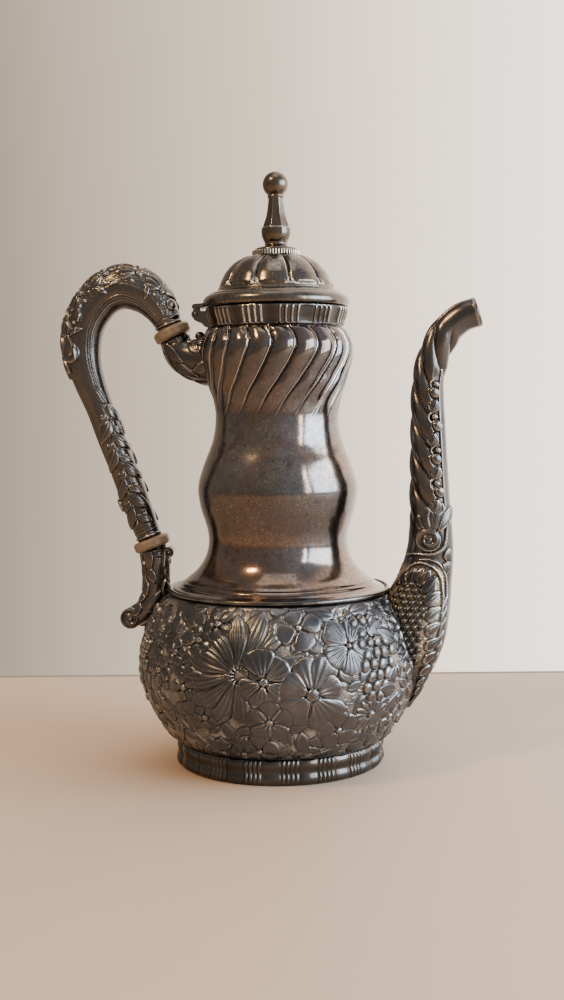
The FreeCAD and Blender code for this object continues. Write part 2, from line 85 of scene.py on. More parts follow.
def smooth_line(points, count):
    """Evenly spaced points along a smooth line through the given points."""
    points = np.array(points, float)
    first = 2 * points[0] - points[1]
    last = 2 * points[-1] - points[-2]
    p = np.vstack([first, points, last])
    share = np.linspace(0, 1, 24, endpoint=False)[:, None]
    pieces = []
    for i in range(1, len(p) - 2):
        a, b, c, d = p[i - 1], p[i], p[i + 1], p[i + 2]
        gap_before = max(np.linalg.norm(b - a), 1e-6)
        gap = max(np.linalg.norm(c - b), 1e-6)
        gap_after = max(np.linalg.norm(d - c), 1e-6)
        start = ((b - a) / gap_before * gap + (c - b)) / (gap_before + gap) * gap
        end = ((c - b) / gap * gap_after + (d - c) / gap_after * gap) / (gap + gap_after) * gap
        t, t2, t3 = share, share**2, share**3
        pieces.append(
            (2 * t3 - 3 * t2 + 1) * b + (t3 - 2 * t2 + t) * start + (3 * t2 - 2 * t3) * c + (t3 - t2) * end
        )
    dense = np.vstack(pieces + [points[-1:]])
    length = np.concatenate([[0], np.cumsum(np.linalg.norm(np.diff(dense, axis=0), axis=1))])
    wanted = np.linspace(0, length[-1], count)
    return np.stack([np.interp(wanted, length, dense[:, k]) for k in range(dense.shape[1])], axis=1)


def step(value, low, high):
    """Smooth rise from 0 at low to 1 at high."""
    t = np.clip((value - low) / (high - low), 0, 1)
    return t * t * (3 - 2 * t)


def hump(value, centre, half_width):
    """Smooth bump of height 1, zero outside the half width."""
    t = np.clip(1 - np.abs((value - centre) / half_width), 0, 1)
    return t * t * (3 - 2 * t)


def wrap(angle):
    """Angle brought to the range from -pi to pi."""
    return (angle + math.pi) % TURN - math.pi


def outward(line):
    """Unit normals on the right of a (radius, height) line's travel."""
    tangent = np.gradient(line, axis=0)
    tangent /= np.maximum(np.linalg.norm(tangent, axis=1, keepdims=True), 1e-9)
    return np.stack([tangent[:, 1], -tangent[:, 0]], axis=1)


# ---------------------------------------------------------------- meshes


def grid_quads(rows, columns, wrap_rows):
    """Quads of a grid of vertices numbered row by row, whose columns close into rings."""
    row = np.arange(rows if wrap_rows else rows - 1)
    column = np.arange(columns)
    row, column = np.meshgrid(row, column, indexing="ij")
    next_row = (row + 1) % rows
    next_column = (column + 1) % columns
    quads = np.stack(
        [row * columns + column, row * columns + next_column, next_row * columns + next_column,
         next_row * columns + column], axis=-1)
    return quads.reshape(-1, 4)


def full_turn(rows, columns):
    """The angle round the axis at every cell of a grid of rings."""
    return np.broadcast_to(np.linspace(0, TURN, columns, endpoint=False), (rows, columns))


def paint(piece, name, values):
    """Stores one number per vertex for the materials to read; vertices past the end get 0."""
    full = np.zeros(len(piece.data.vertices), np.float32)
    full[:values.size] = values.ravel()
    piece.data.attributes.new(name, "FLOAT", "POINT").data.foreach_set("value", full)


def make_piece(name, vertices, tone, quads, nodes, finish, body="pot", triangles=None):
    """A mesh object from arrays of corners in millimetres, their tones and faces of corner numbers.

    nodes are the CAD nodes it replaces and finish is a (slot, material) pair.
    """
    vertices = np.asarray(vertices, float).reshape(-1, 3)
    faces = [np.asarray(quads, np.int32).reshape(-1, 4)]
    sizes = [np.full(len(faces[0]), 4)]
    if triangles is not None:
        faces.append(np.asarray(triangles, np.int32).reshape(-1, 3))
        sizes.append(np.full(len(faces[1]), 3))
    loops = np.concatenate([f.ravel() for f in faces])
    totals = np.concatenate(sizes)
    mesh = bpy.data.meshes.new(name)
    mesh.vertices.add(len(vertices))
    mesh.vertices.foreach_set("co", (vertices * MM).ravel())
    mesh.loops.add(len(loops))
    mesh.loops.foreach_set("vertex_index", loops.astype(np.int32))
    mesh.polygons.add(len(totals))
    starts = np.concatenate([[0], np.cumsum(totals)[:-1]]).astype(np.int32)
    mesh.polygons.foreach_set("loop_start", starts)
    mesh.polygons.foreach_set("use_smooth", np.ones(len(totals), bool))
    mesh.update(calc_edges=True)
    mesh.validate()
    piece = bpy.data.objects.new(name, mesh)
    bpy.context.scene.collection.objects.link(piece)
    paint(piece, "tone", tone)
    slot, material = finish
    mesh.materials.append(material)
    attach(piece, body)
    if nodes:
        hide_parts(*nodes)
    return piece


def ringed(line, angle, lift):
    """Points of a (radius, height) line turned about the pot's axis and lifted along its normals."""
    normal = outward(line)
    radius = line[:, :1] + normal[:, :1] * lift
    height = line[:, 1:] + normal[:, 1:] * lift
    return np.stack([radius * np.cos(angle), radius * np.sin(angle), height], axis=-1)


def turned_piece(name, outer, inner, columns, nodes, finish, relief=None, body="pot"):
    """Closed shell turned about the pot's axis.

    outer runs upwards on the outside and inner runs back down, both as (radius, height) rows.
    relief(angle, outer) returns the outer rows' lift and tone and, where there is any, their deposit.
    """
    angle = full_turn(len(outer), columns)
    lift, tone = np.zeros(angle.shape), np.full(angle.shape, PLAIN_TONE)
    deposit = None
    if relief:
        lift, tone, *rest = relief(angle, outer)
        deposit = rest[0] if rest else None
    inner_angle = full_turn(len(inner), columns)
    inside = ringed(inner, inner_angle, np.zeros(inner_angle.shape))
    vertices = np.concatenate([ringed(outer, angle, lift), inside])
    tone = np.vstack([tone, np.full(inner_angle.shape, INSIDE_TONE)])
    quads = grid_quads(len(vertices), columns, True)
    piece = make_piece(name, vertices, tone, quads, nodes, finish, body)
    if deposit is not None:
        paint(piece, "deposit", deposit)
    return piece


def turned_plug(name, outer, columns, nodes, finish, relief, body):
    """Closed solid turned about the pot's axis, whose first and last row sit close to the axis."""
    angle = full_turn(len(outer), columns)
    lift, tone = relief(angle, outer)
    tube_with_ends(name, ringed(outer, angle, lift), tone, nodes, finish, body, PLAIN_TONE)


class Path:
    """A smooth line in the XZ plane with half widths, for pieces swept along it."""

    def __init__(self, stations, rows):
        line = smooth_line(stations, rows)
        self.centre = np.stack([line[:, 0], np.zeros(rows), line[:, 1]], axis=1)
        self.side, self.across = line[:, 2], line[:, 3]
        tangent = np.gradient(self.centre, axis=0)
        tangent /= np.linalg.norm(tangent, axis=1, keepdims=True)
        self.tangent = tangent
        self.right = np.stack([tangent[:, 2], np.zeros(rows), -tangent[:, 0]], axis=1)
        gaps = np.linalg.norm(np.diff(self.centre, axis=0), axis=1)
        self.length = np.concatenate([[0], np.cumsum(gaps)])

    def set_end(self, row, direction):
        """Turns the section at one end square to a direction (x, z)."""
        x, z = direction
        self.right[row] = np.array([z, 0, -x]) / math.hypot(x, z)

    def section(self, angle, lift=0.0):
        """Points at an angle round the path: 0 is to the right of travel and 90 degrees is +Y."""
        side = self.side[:, None] + lift
        across = self.across[:, None] + lift
        offset = (side * np.cos(angle))[..., None] * self.right[:, None, :]
        offset = offset + (across * np.sin(angle))[..., None] * np.array([0, 1.0, 0])
        return self.centre[:, None, :] + offset


def tube_with_ends(name, vertices, tone, nodes, finish, body="pot", end_tone=0.4):
    """Piece from a grid of rings whose first and last ring are closed with flat discs."""
    rows, columns = vertices.shape[:2]
    quads = grid_quads(rows, columns, False)
    ends = np.stack([vertices[0].mean(axis=0), vertices[-1].mean(axis=0)])
    count = rows * columns
    column = np.arange(columns)
    following = (column + 1) % columns
    last = count - columns
    start = np.stack([following, column, np.full(columns, count)], axis=1)
    stop = np.stack([last + column, last + following, np.full(columns, count + 1)], axis=1)
    tones = np.concatenate([tone.ravel(), [end_tone, end_tone]])
    return make_piece(name, np.vstack([vertices.reshape(-1, 3), ends]), tones, quads, nodes, finish, body,
                      np.vstack([start, stop]))


# ---------------------------------------------------------------- materials


class Nodes:
    """Short calls for building a material's node tree."""

    def __init__(self, name):
        self.material = bpy.data.materials.new(name)
        self.material.use_nodes = True
        self.tree = self.material.node_tree
        self.tree.nodes.clear()
        self.output = self.tree.nodes.new("ShaderNodeOutputMaterial")
        self.shader = self.tree.nodes.new("ShaderNodeBsdfPrincipled")
        self.link(self.shader.outputs[0], self.output.inputs[0])
        self.position = self.tree.nodes.new("ShaderNodeTexCoord").outputs["Object"]

    def link(self, source, target):
        self.tree.links.new(source, target)

    def put(self, socket, value):
        if isinstance(value, bpy.types.NodeSocket):
            self.link(value, socket)
        else:
            socket.default_value = value

    def noise(self, scale, detail=4.0, roughness=0.55, distortion=0.0, stretch=None):
        place = self.position
        if stretch:
            mapping = self.tree.nodes.new("ShaderNodeMapping")
            self.link(place, mapping.inputs["Vector"])
            mapping.inputs["Scale"].default_value = stretch
            place = mapping.outputs[0]
        node = self.tree.nodes.new("ShaderNodeTexNoise")
        self.link(place, node.inputs["Vector"])
        node.inputs["Scale"].default_value = scale
        node.inputs["Detail"].default_value = detail
        node.inputs["Roughness"].default_value = roughness
        node.inputs["Distortion"].default_value = distortion
        return node.outputs["Fac"]

    def ramp(self, value, stops):
        """Colour ramp; a stop is (place, grey) or (place, (r, g, b))."""
        node = self.tree.nodes.new("ShaderNodeValToRGB")
        band = node.color_ramp
        while len(band.elements) < len(stops):
            band.elements.new(0.5)
        for element, (place, colour) in zip(band.elements, stops):
            element.position = place
            if isinstance(colour, (int, float)):
                colour = (colour, colour, colour)
            element.color = (*colour, 1.0)
        self.put(node.inputs[0], value)
        return node.outputs["Color"]

    def mix(self, share, first, second):
        node = self.tree.nodes.new("ShaderNodeMix")
        node.data_type = "RGBA"
        self.put(node.inputs["Factor"], share)
        for socket, value in ((node.inputs[6], first), (node.inputs[7], second)):
            if isinstance(value, tuple):
                value = (*value, 1.0)
            self.put(socket, value)
        return node.outputs[2]

    def math(self, operation, first, second, clamp=False):
        node = self.tree.nodes.new("ShaderNodeMath")
        node.operation = operation
        node.use_clamp = clamp
        self.put(node.inputs[0], first)
        self.put(node.inputs[1], second)
        return node.outputs[0]

    def times(self, first, second):
        return self.math("MULTIPLY", first, second)

    def plus(self, first, second, clamp=False):
        return self.math("ADD", first, second, clamp)

    def attribute(self, name):
        node = self.tree.nodes.new("ShaderNodeAttribute")
        node.attribute_name = name
        return node.outputs["Fac"]

    def bump(self, height, strength, distance):
        node = self.tree.nodes.new("ShaderNodeBump")
        node.inputs["Strength"].default_value = strength
        node.inputs["Distance"].default_value = distance
        self.link(height, node.inputs["Height"])
        self.link(node.outputs[0], self.shader.inputs["Normal"])

    def finish(self, colour, roughness, metallic):
        self.put(self.shader.inputs["Base Color"], colour)
        self.put(self.shader.inputs["Roughness"], roughness)
        self.put(self.shader.inputs["Metallic"], metallic)
        return self.material


def silver(name, dark, plain, bright, toning, roughness, dustiness):
    """Tarnished silver plate. Recesses hold pale deposit over dark metal, edges are worn bright."""
    n = Nodes(name)
    tone = n.attribute("tone")
    gilt = n.attribute("gilt")
    deposit = n.attribute("deposit")
    cloud = n.noise(22.0, 5.0, 0.6, 0.4)
    speckle = n.noise(420.0, 3.0, 0.6)
    grain = n.noise(95.0, 5.0, 0.65, 0.6)
    base = n.ramp(cloud, [(0.3, dark), (0.52, plain), (0.72, toning)])
    base = n.mix(n.times(grain, 0.5), base, dark)
    base = n.mix(gilt, base, GILT)
    base = n.mix(n.times(deposit, n.ramp(grain, [(0.35, 0.25), (0.6, 1.0)])), base, GROUND_DEPOSIT)
    uneven_grain = n.plus(grain, -0.5)
    worn = n.ramp(n.plus(tone, n.times(uneven_grain, 0.35)), [(0.58, 0.0), (0.95, 1.0)])
    base = n.mix(worn, base, bright)
    low = n.plus(tone, n.times(uneven_grain, 0.3))
    # Low tone is darkened: tarnish held in the hollows, and the painted shade laid into the groove beside the
    # spout.
    recess = n.ramp(low, [(0.12, 1.0), (0.42, 0.0)])
    base = n.mix(n.times(recess, 0.75), base, tuple(c * 0.25 for c in dark))
    dust = n.ramp(n.plus(n.times(low, -1.0), n.times(cloud, 1.1)), [(0.28, 0.0), (0.62, dustiness)])
    dust = n.times(dust, speckle)
    base = n.mix(dust, base, DEPOSIT)
    shine = n.plus(n.times(grain, 0.22), roughness - 0.11)
    shine = n.plus(shine, n.times(recess, 0.25), clamp=True)
    matte = n.plus(n.times(dust, 0.8), n.times(gilt, 0.55))
    matte = n.plus(matte, n.times(deposit, 0.6))
    metal = n.math("SUBTRACT", 1.0, matte, clamp=True)
    n.bump(n.plus(n.times(n.noise(900.0, 3.0, 0.6), 0.6), n.times(grain, 0.8)), 0.35, 0.00012)
    return n.finish(base, shine, metal)


def burnished(name, stops, roughness, toning):
    """Smooth tarnished plate: brown toning that drifts over the surface, dark stains and faint colours."""
    n = Nodes(name)
    tone = n.attribute("tone")
    drift = n.noise(16.0, 5.0, 0.6, 0.8)
    bands = n.noise(60.0, 5.0, 0.65, 1.2, stretch=(1.0, 1.0, 0.35))
    grain = n.noise(260.0, 5.0, 0.65)
    base = n.ramp(n.plus(n.times(drift, 0.7), n.times(bands, 0.3)), stops)
    base = n.mix(toning, base, n.ramp(n.noise(24.0, 3.0, 0.5, 2.2), TONING_COLOURS))
    spots = n.ramp(n.noise(75.0, 6.0, 0.7, 0.6), [(0.54, 0.0), (0.68, 0.7)])
    base = n.mix(spots, base, STAIN)
    base = n.mix(n.ramp(grain, [(0.40, 0.0), (0.75, 0.45)]), base, STAIN)
    base = n.mix(n.attribute("smoke"), base, SMOKE)
    flecks = n.times(n.ramp(n.noise(1100.0, 4.0, 0.7), [(0.56, 0.0), (0.64, 1.0)]),
                     n.ramp(drift, [(0.42, 0.05), (0.60, 0.55)]))
    base = n.mix(flecks, base, (0.46, 0.38, 0.30))
    pits = n.ramp(n.noise(800.0, 4.0, 0.7), [(0.58, 0.0), (0.66, 0.6)])
    base = n.mix(pits, base, (0.03, 0.026, 0.024))
    # High tone is lightened and low tone darkened: worn edges and tarnish on the lid, and on the neck the
    # flutes' painted highlights and painted shade.
    base = n.mix(n.ramp(tone, [(0.6, 0.0), (1.0, 1.0)]), base, (0.60, 0.57, 0.53))
    base = n.mix(n.ramp(tone, [(0.1, 0.85), (0.45, 0.0)]), base, (0.035, 0.03, 0.03))
    shine = n.plus(n.times(bands, 0.14), roughness - 0.07)
    shine = n.plus(shine, n.times(spots, 0.12), clamp=True)
    n.bump(n.plus(n.times(grain, 0.5), n.noise(30.0, 2.0, 0.5)), 0.25, 0.00025)
    return n.finish(base, shine, 1.0)


def bone(name):
    """Aged bone: tan with darker streaks along the turning lines and a satin surface."""
    n = Nodes(name)
    cloud = n.noise(140.0, 4.0, 0.6, 0.5)
    streak = n.noise(320.0, 4.0, 0.6, 0.3, stretch=(1.0, 1.0, 4.0))
    base = n.ramp(cloud, BONE_COLOURS)
    base = n.mix(n.ramp(streak, [(0.5, 0.0), (0.75, 0.55)]), base, (0.115, 0.078, 0.05))
    n.bump(streak, 0.3, 0.0001)
    n.put(n.shader.inputs["Subsurface Weight"], 0.06)
    n.put(n.shader.inputs["Subsurface Scale"], 0.001)
    return n.finish(base, n.plus(n.times(cloud, 0.2), 0.32), 0.0)


BRIGHT = (0.52, 0.50, 0.48)
DEPOSIT = (0.33, 0.31, 0.275)
GROUND_DEPOSIT = (0.27, 0.245, 0.215)
GILT = (0.36, 0.30, 0.205)
STAIN = (0.055, 0.045, 0.04)
SMOKE = (0.085, 0.083, 0.088)
TONING_COLOURS = [(0.38, (0.24, 0.13, 0.085)), (0.48, (0.17, 0.125, 0.17)), (0.58, (0.11, 0.165, 0.23)),
                  (0.70, (0.28, 0.20, 0.09))]
NECK_COLOURS = [(0.30, (0.13, 0.10, 0.08)), (0.45, (0.18, 0.148, 0.12)), (0.55, (0.215, 0.185, 0.158)),
                (0.66, (0.235, 0.21, 0.20)), (0.78, (0.29, 0.23, 0.165))]
LID_COLOURS = [(0.30, (0.055, 0.049, 0.043)), (0.48, (0.115, 0.105, 0.09)), (0.60, (0.145, 0.13, 0.112)),
               (0.76, (0.20, 0.172, 0.135))]
BONE_COLOURS = [(0.3, (0.13, 0.092, 0.056)), (0.55, (0.20, 0.152, 0.098)), (0.75, (0.27, 0.21, 0.14))]

# A finish is a material slot's name and the material that stands for it.
EMBOSSED = ("embossed_silver", silver(
    "embossed silver", dark=(0.05, 0.053, 0.06), plain=(0.116, 0.12, 0.132), bright=BRIGHT,
    toning=(0.155, 0.155, 0.162), roughness=0.28, dustiness=0.6))
TARNISHED = ("tarnished_silver", silver(
    "tarnished silver", dark=(0.04, 0.039, 0.04), plain=(0.088, 0.085, 0.083), bright=BRIGHT,
    toning=(0.125, 0.108, 0.092), roughness=0.23, dustiness=0.7))
CAST = ("cast_silver", silver(
    "cast silver", dark=(0.05, 0.049, 0.05), plain=(0.12, 0.115, 0.113), bright=BRIGHT,
    toning=(0.15, 0.138, 0.13), roughness=0.25, dustiness=0.5))
WORN = ("worn_silver", silver(
    "worn silver", dark=(0.07, 0.056, 0.045), plain=(0.145, 0.122, 0.10), bright=(0.46, 0.42, 0.37),
    toning=(0.175, 0.142, 0.11), roughness=0.22, dustiness=0.35))
NECK_METAL = ("burnished_silver", burnished("burnished silver", NECK_COLOURS, roughness=0.15, toning=0.32))
LID_METAL = ("burnished_silver", burnished("burnished lid silver", LID_COLOURS, roughness=0.2, toning=0.1))
BONE = ("bone", bone("aged bone"))


# ---------------------------------------------------------------- shared profiles in millimetres

FOOT_OUTER = [(44.0, 0.0), (44.9, 1.0), (45.0, 2.6), (44.3, 5.4), (44.9, 8.3), (44.4, 10.6)]
BOWL_OUTER = [
    (41.8, 10.2), (44.6, 10.8), (47.2, 12.2), (50.6, 15.5), (53.2, 20.1), (55.4, 24.6),
    (57.4, 29.1), (59.2, 33.6), (60.2, 40.0), (60.5, 45.9), (59.8, 51.0), (58.0, 57.6),
    (54.2, 66.0), (50.8, 71.2), (48.2, 73.8), (46.2, 74.5), (44.2, 74.7),
]
NECK_OUTER = [
    (46.6, 75.3), (45.9, 75.9), (43.7, 76.8), (41.1, 79.0), (35.9, 83.3), (32.7, 87.6),
    (30.9, 92.0), (30.3, 96.3), (30.7, 100.7), (31.9, 105.1), (33.3, 109.4), (34.2, 113.8),
    (34.7, 118.1), (34.2, 122.4),
    (32.9, 126.8), (31.4, 131.1), (29.6, 135.4), (28.1, 139.7), (27.2, 144.0), (26.8, 148.3),
    (26.8, 152.6), (27.3, 156.9), (28.6, 161.2), (29.3, 163.6), (30.1, 167.6), (31.4, 171.9),
    (32.4, 176.2), (32.2, 180.4), (30.6, 184.3), (28.9, 187.0), (27.9, 188.1),
]
MOUTH_RADIUS = 27.6
MOUTH_TOP = node_box("neck")[1][2]
WALL = 1.2


def inner_of(outer, wall, count):
    """The inside line of a wall, running down from the outside line's top."""
    line = outer - outward(outer) * wall
    wanted = np.linspace(len(line) - 1, 0, count)
    index = np.arange(len(line))
    return np.stack([np.interp(wanted, index, line[:, 0]), np.interp(wanted, index, line[:, 1])], axis=1)


# ---------------------------------------------------------------- foot ring

FOOT_GROUPS = 18
FOOT_START = 3.0
FOOT_COLUMNS = 1152
FOOT_RADIUS = 44.6
FOOT_TOP = 10.6
REED_PITCH = 1.9
REEDS_WIDTH = 8.0


def foot_relief(angle, line):
    """Groups of four upright reeds, with a smooth convex pad between two groups."""
    pitch = TURN / FOOT_GROUPS
    place = wrap((angle - math.radians(FOOT_START)) * FOOT_GROUPS) / FOOT_GROUPS
    arc = place * FOOT_RADIUS
    height = line[:, 1:]
    reed_zone = step(np.abs(arc), 4.3, 3.8)
    reed = np.abs(np.sin(arc / REED_PITCH * math.pi)) ** 0.6
    pad = 1 - reed_zone
    side = pitch * FOOT_RADIUS - 2 * np.abs(arc)
    cushion = np.sqrt(np.clip(1 - (side / (pitch * FOOT_RADIUS - REEDS_WIDTH)) ** 2, 0, 1))
    upright = np.clip(np.minimum(height - 0.4, FOOT_TOP - height) / 1.3, 0, 1) ** 0.6
    lift = upright * (reed_zone * (reed - 0.55) * 0.9 + pad * (cushion * 0.7 - 0.35))
    lift = lift + uneven(angle.shape, 2, 0.1) * upright
    tone = 0.44 + reed_zone * (reed - 0.6) * 0.4 * upright + pad * (cushion - 0.75) * 0.3
    return lift, np.clip(tone, 0, 1)


def build_foot():
    outer = smooth_line(FOOT_OUTER, 30)
    inner = np.array([(43.2, FOOT_TOP), (43.0, 8.0), (43.0, 3.0), (42.4, 1.5), (41.6, 1.3), (41.6, 0.5),
                      (41.7, 0.0)])
    turned_piece("foot_ring_reeded", outer, inner, FOOT_COLUMNS, ["foot_ring"], TARNISHED, foot_relief)


# ---------------------------------------------------------------- relief painting


def soften(field, rounds):
    """Blurs a map that wraps round its columns."""
    for _ in range(rounds):
        field = (np.roll(field, 1, axis=1) + 2 * field + np.roll(field, -1, axis=1)) / 4
        padded = np.vstack([field[:1], field, field[-1:]])
        field = (padded[:-2] + 2 * padded[1:-1] + padded[2:]) / 4
    return field


def worn_tone(lift, gain=0.6, crest=0.45, rounds=10):
    """Crests read as worn and hollows as dark, from how far the lift stands above its surroundings."""
    fine = lift - soften(lift, 3)
    broad = lift - soften(lift, rounds)
    edge = np.where(fine > 0, crest * fine, 1.7 * fine)
    return np.clip(0.5 + gain * (broad + edge), 0, 1)


def uneven(shape, rounds, height):
    """A seeded, gently wavy field of about the given height, as hand work leaves."""
    coarse = soften(rng.uniform(-1, 1, (shape[0] // 6 + 2, shape[1] // 6)), rounds)
    coarse *= height / max(np.abs(coarse).max(), 1e-6)
    rows = np.linspace(0, coarse.shape[0] - 1.001, shape[0])
    columns = np.arange(shape[1]) * coarse.shape[1] / shape[1]
    r, c = rows.astype(int), columns.astype(int)
    down, along = (rows - r)[:, None], (columns - c)[None, :]
    following = (c + 1) % coarse.shape[1]
    top = coarse[np.ix_(r, c)] * (1 - along) + coarse[np.ix_(r, following)] * along
    bottom = coarse[np.ix_(r + 1, c)] * (1 - along) + coarse[np.ix_(r + 1, following)] * along
    return top * (1 - down) + bottom * down


class Relief:
    """A map of lift over a turned or swept surface, painted motif by motif in millimetres.

    A place on it is (degrees round, height), where height is any measure that grows along the rows.
    """

    def __init__(self, angle, radius, along, height):
        self.angle = angle[0]
        self.radius, self.along, self.height = radius, along, height
        self.lift = np.zeros(angle.shape)
        self.ground = np.ones(angle.shape)

    def local(self, place, turn, reach):
        """Index of the cells near a place (degrees, height) and their position in the motif's own axes."""
        degrees, height = place
        along = np.interp(height, self.height, self.along)
        rows = np.nonzero(np.abs(self.along - along) < reach)[0]
        away = wrap(self.angle - math.radians(degrees))
        radius = self.radius[rows]
        columns = np.nonzero(np.abs(away) * radius.min() < reach)[0]
        across = away[columns][None, :] * radius[:, None]
        up = np.repeat((self.along[rows] - along)[:, None], len(columns), axis=1)
        c, s = math.cos(math.radians(turn)), math.sin(math.radians(turn))
        return np.ix_(rows, columns), across * c + up * s, -across * s + up * c

    def lay(self, spot, cover, height):
        """Raises the cells to a height where cover is 1 and takes them off the bare ground."""
        self.lift[spot] = self.lift[spot] * (1 - cover) + height * cover
        self.ground[spot] = self.ground[spot] * (1 - cover)

    def cut(self, spot, depth):
        self.lift[spot] -= depth


def petal(art, place, turn, length, width, start=0.0, tip=1.0, blunt=0.8, base=0.3, crown=0.7, ribs=0.0,
          rib=0.14, vein=0.0, cup=0.0, bend=0.0, fan=0.0):
    """One petal or leaf that points along its turn. tip moves the widest place out, blunt rounds the ends."""
    spot, x, y = art.local(place, turn, start + length + 1.5)
    y = y - bend * ((x - start) / length) ** 2
    t = np.clip((x - start) / length, 0, 1)
    half = width * np.sin(math.pi * t**tip) ** blunt
    edge = np.where((x <= start) | (x >= start + length), -1.0, half - np.abs(y))
    cover = step(edge, -0.1, 0.22)
    across = np.clip(np.abs(y) / np.maximum(half, 0.25), 0, 1)
    height = base + crown * np.sqrt(1 - across**2) * (0.45 + 0.55 * np.sin(math.pi * t**0.8) ** 0.6)
    height = height - cup * (1 - across**2) * np.sin(math.pi * t) ** 2
    if ribs:
        height = height + rib * np.cos(y / np.maximum(half, 0.6) * math.pi * ribs) * (1 - t**3)
    if fan:
        height = height + rib * np.cos(np.arctan2(y, x + 0.5) * fan) * np.clip(1.2 - t, 0, 1)
    height = height - vein * np.exp(-((y / 0.32) ** 2)) * (1 - t)
    art.lay(spot, cover, height)
    art.cut(spot, 0.34 * np.exp(-((edge + 0.12) / 0.26) ** 2))


def heart(art, place, radius, height=0.9, grains=True):
    """The round middle of a flower, with or without seeds."""
    spot, x, y = art.local(place, 0, radius + 2)
    gap = np.hypot(x, y)
    cover = step(gap, radius + 0.15, radius - 0.2)
    dome = height + 0.7 * radius * np.sqrt(np.clip(1 - (gap / (radius * 1.05)) ** 2, 0, 1)) * 0.6
    if grains:
        dome = dome + 0.16 * np.cos(x * 4.6) * np.cos(y * 4.6)
    art.lay(spot, cover, dome)
    art.cut(spot, 0.4 * np.exp(-((gap - radius - 0.2) / 0.3) ** 2))


def flower(art, place, turn, petals, length, width, middle, **look):
    """A ring of equal petals round a seeded heart."""
    for index in range(petals):
        petal(art, place, turn + index * 360.0 / petals, length, width, start=middle * 0.5, **look)
    heart(art, place, middle, look.get("base", 0.3) + 0.45)


def berry(art, place, radius, stretch=1.0, turn=0.0):
    """A round or longish bead with a dark line round it."""
    spot, x, y = art.local(place, turn, radius * stretch + 1.5)
    gap = np.hypot(x / stretch, y)
    cover = step(gap, radius + 0.08, radius - 0.15)
    art.lay(spot, cover, 0.4 + radius * 0.62 * np.sqrt(np.clip(1 - (gap / (radius * 1.04)) ** 2, 0, 1)))
    art.cut(spot, 0.35 * np.exp(-((gap - radius - 0.1) / 0.22) ** 2))


def stem(art, places, width=0.45, height=0.55):
    """A thin raised stalk through places on the surface."""
    line = smooth_line(places, 14)
    for (a0, z0), (a1, z1) in zip(line, line[1:]):
        radius = np.interp((z0 + z1) / 2, art.height, art.radius)
        run = math.radians(a1 - a0) * radius
        rise = np.interp(z1, art.height, art.along) - np.interp(z0, art.height, art.along)
        length = math.hypot(run, rise)
        spot, x, y = art.local((a0, z0), math.degrees(math.atan2(rise, run)), length + 2)
        gap = np.hypot(x - np.clip(x, 0, length), y)
        cover = step(gap, width + 0.2, width - 0.1)
        art.lay(spot, cover, height + 0.35 * np.sqrt(np.clip(1 - (gap / (width + 0.2)) ** 2, 0, 1)))


# ---------------------------------------------------------------- bowl

BOWL_COLUMNS = 1140
BOWL_ROWS = 290
BOUQUET_TURNS = (0.0, 120.0, 240.0)
LILY_PETALS = [(57, 31, 5.6), (266, 19, 5.2), (233, 25, 6.4), (79, 26, 5.8), (209, 27, 6.2), (103, 23, 5.6),
               (183, 26, 5.8), (130, 22, 5.6), (157, 25, 6.0)]
TWIG_LEAVES = [(-131, 31, 250, 7), (-122, 22, 100, 8), (-116, 17, 235, 7), (-112, 16, 60, 7),
               (-60, 17, 75, 7), (-55, 21, 20, 7), (-64, 15, 150, 6)]
TALL_LEAVES = [(-151, 66, 200), (-146, 58, 150), (-150, 48, 240), (-149, 38, 170), (-153, 30, 210),
               (-33, 27, 60), (-36, 20, 120), (-130, 68, 30), (-123, 71, 170), (-66, 71, 20),
               (-57, 70, 160), (-48, 71, 10), (-97, 23, 250), (-104, 19, 200)]
RIBBED_PETALS = [(-35, 10.5, 5.4), (205, 10, 5.0), (262, 11, 5.0), (40, 11, 6.2), (105, 12.5, 6.8)]
BROAD_PETALS = [(100, 14, 6.0), (62, 15.5, 6.0), (160, 12.0, 6.6), (15, 11.5, 5.2), (225, 14, 7.6),
                (305, 16.0, 8.6)]
BLOSSOM_PETALS = [(200, 9.0, 4.6), (110, 7.5, 4.4), (20, 9.0, 4.6), (290, 9.0, 4.6)]
LEAF_ROWS = (14.5, 20.0, 26.5, 33.5, 40.5, 47.5, 54.5, 61.0, 66.5, 70.5)
SMALL_FLOWERS = [(-122.3, 41.5), (-116.8, 61.0), (-109.5, 67.5), (-137.4, 46.5), (-113.4, 30.0),
                 (-128.0, 55.0), (-141.0, 62.0), (-99.0, 14.5), (-148.0, 26.0)]


def foliage(art):
    """Small leaves that fill the ground between the larger flowers, all round the bowl."""
    for row, height in enumerate(LEAF_ROWS):
        radius = float(np.interp(height, art.height, art.radius))
        count = int(TURN * radius / 7.8)
        for index in range(count):
            degrees = (index + 0.5 * (row % 2) + rng.uniform(-0.3, 0.3)) * 360.0 / count
            turn = rng.uniform(0, 360)
            length = rng.uniform(7.0, 12.0)
            petal(art, (degrees, height + rng.uniform(-2, 2)), turn, length, length * rng.uniform(0.26, 0.38),
                  start=-length / 2, tip=0.85, blunt=0.85, base=0.15, crown=0.5, vein=0.35, ribs=3.5,
                  rib=0.09, bend=rng.uniform(-1.5, 1.5))


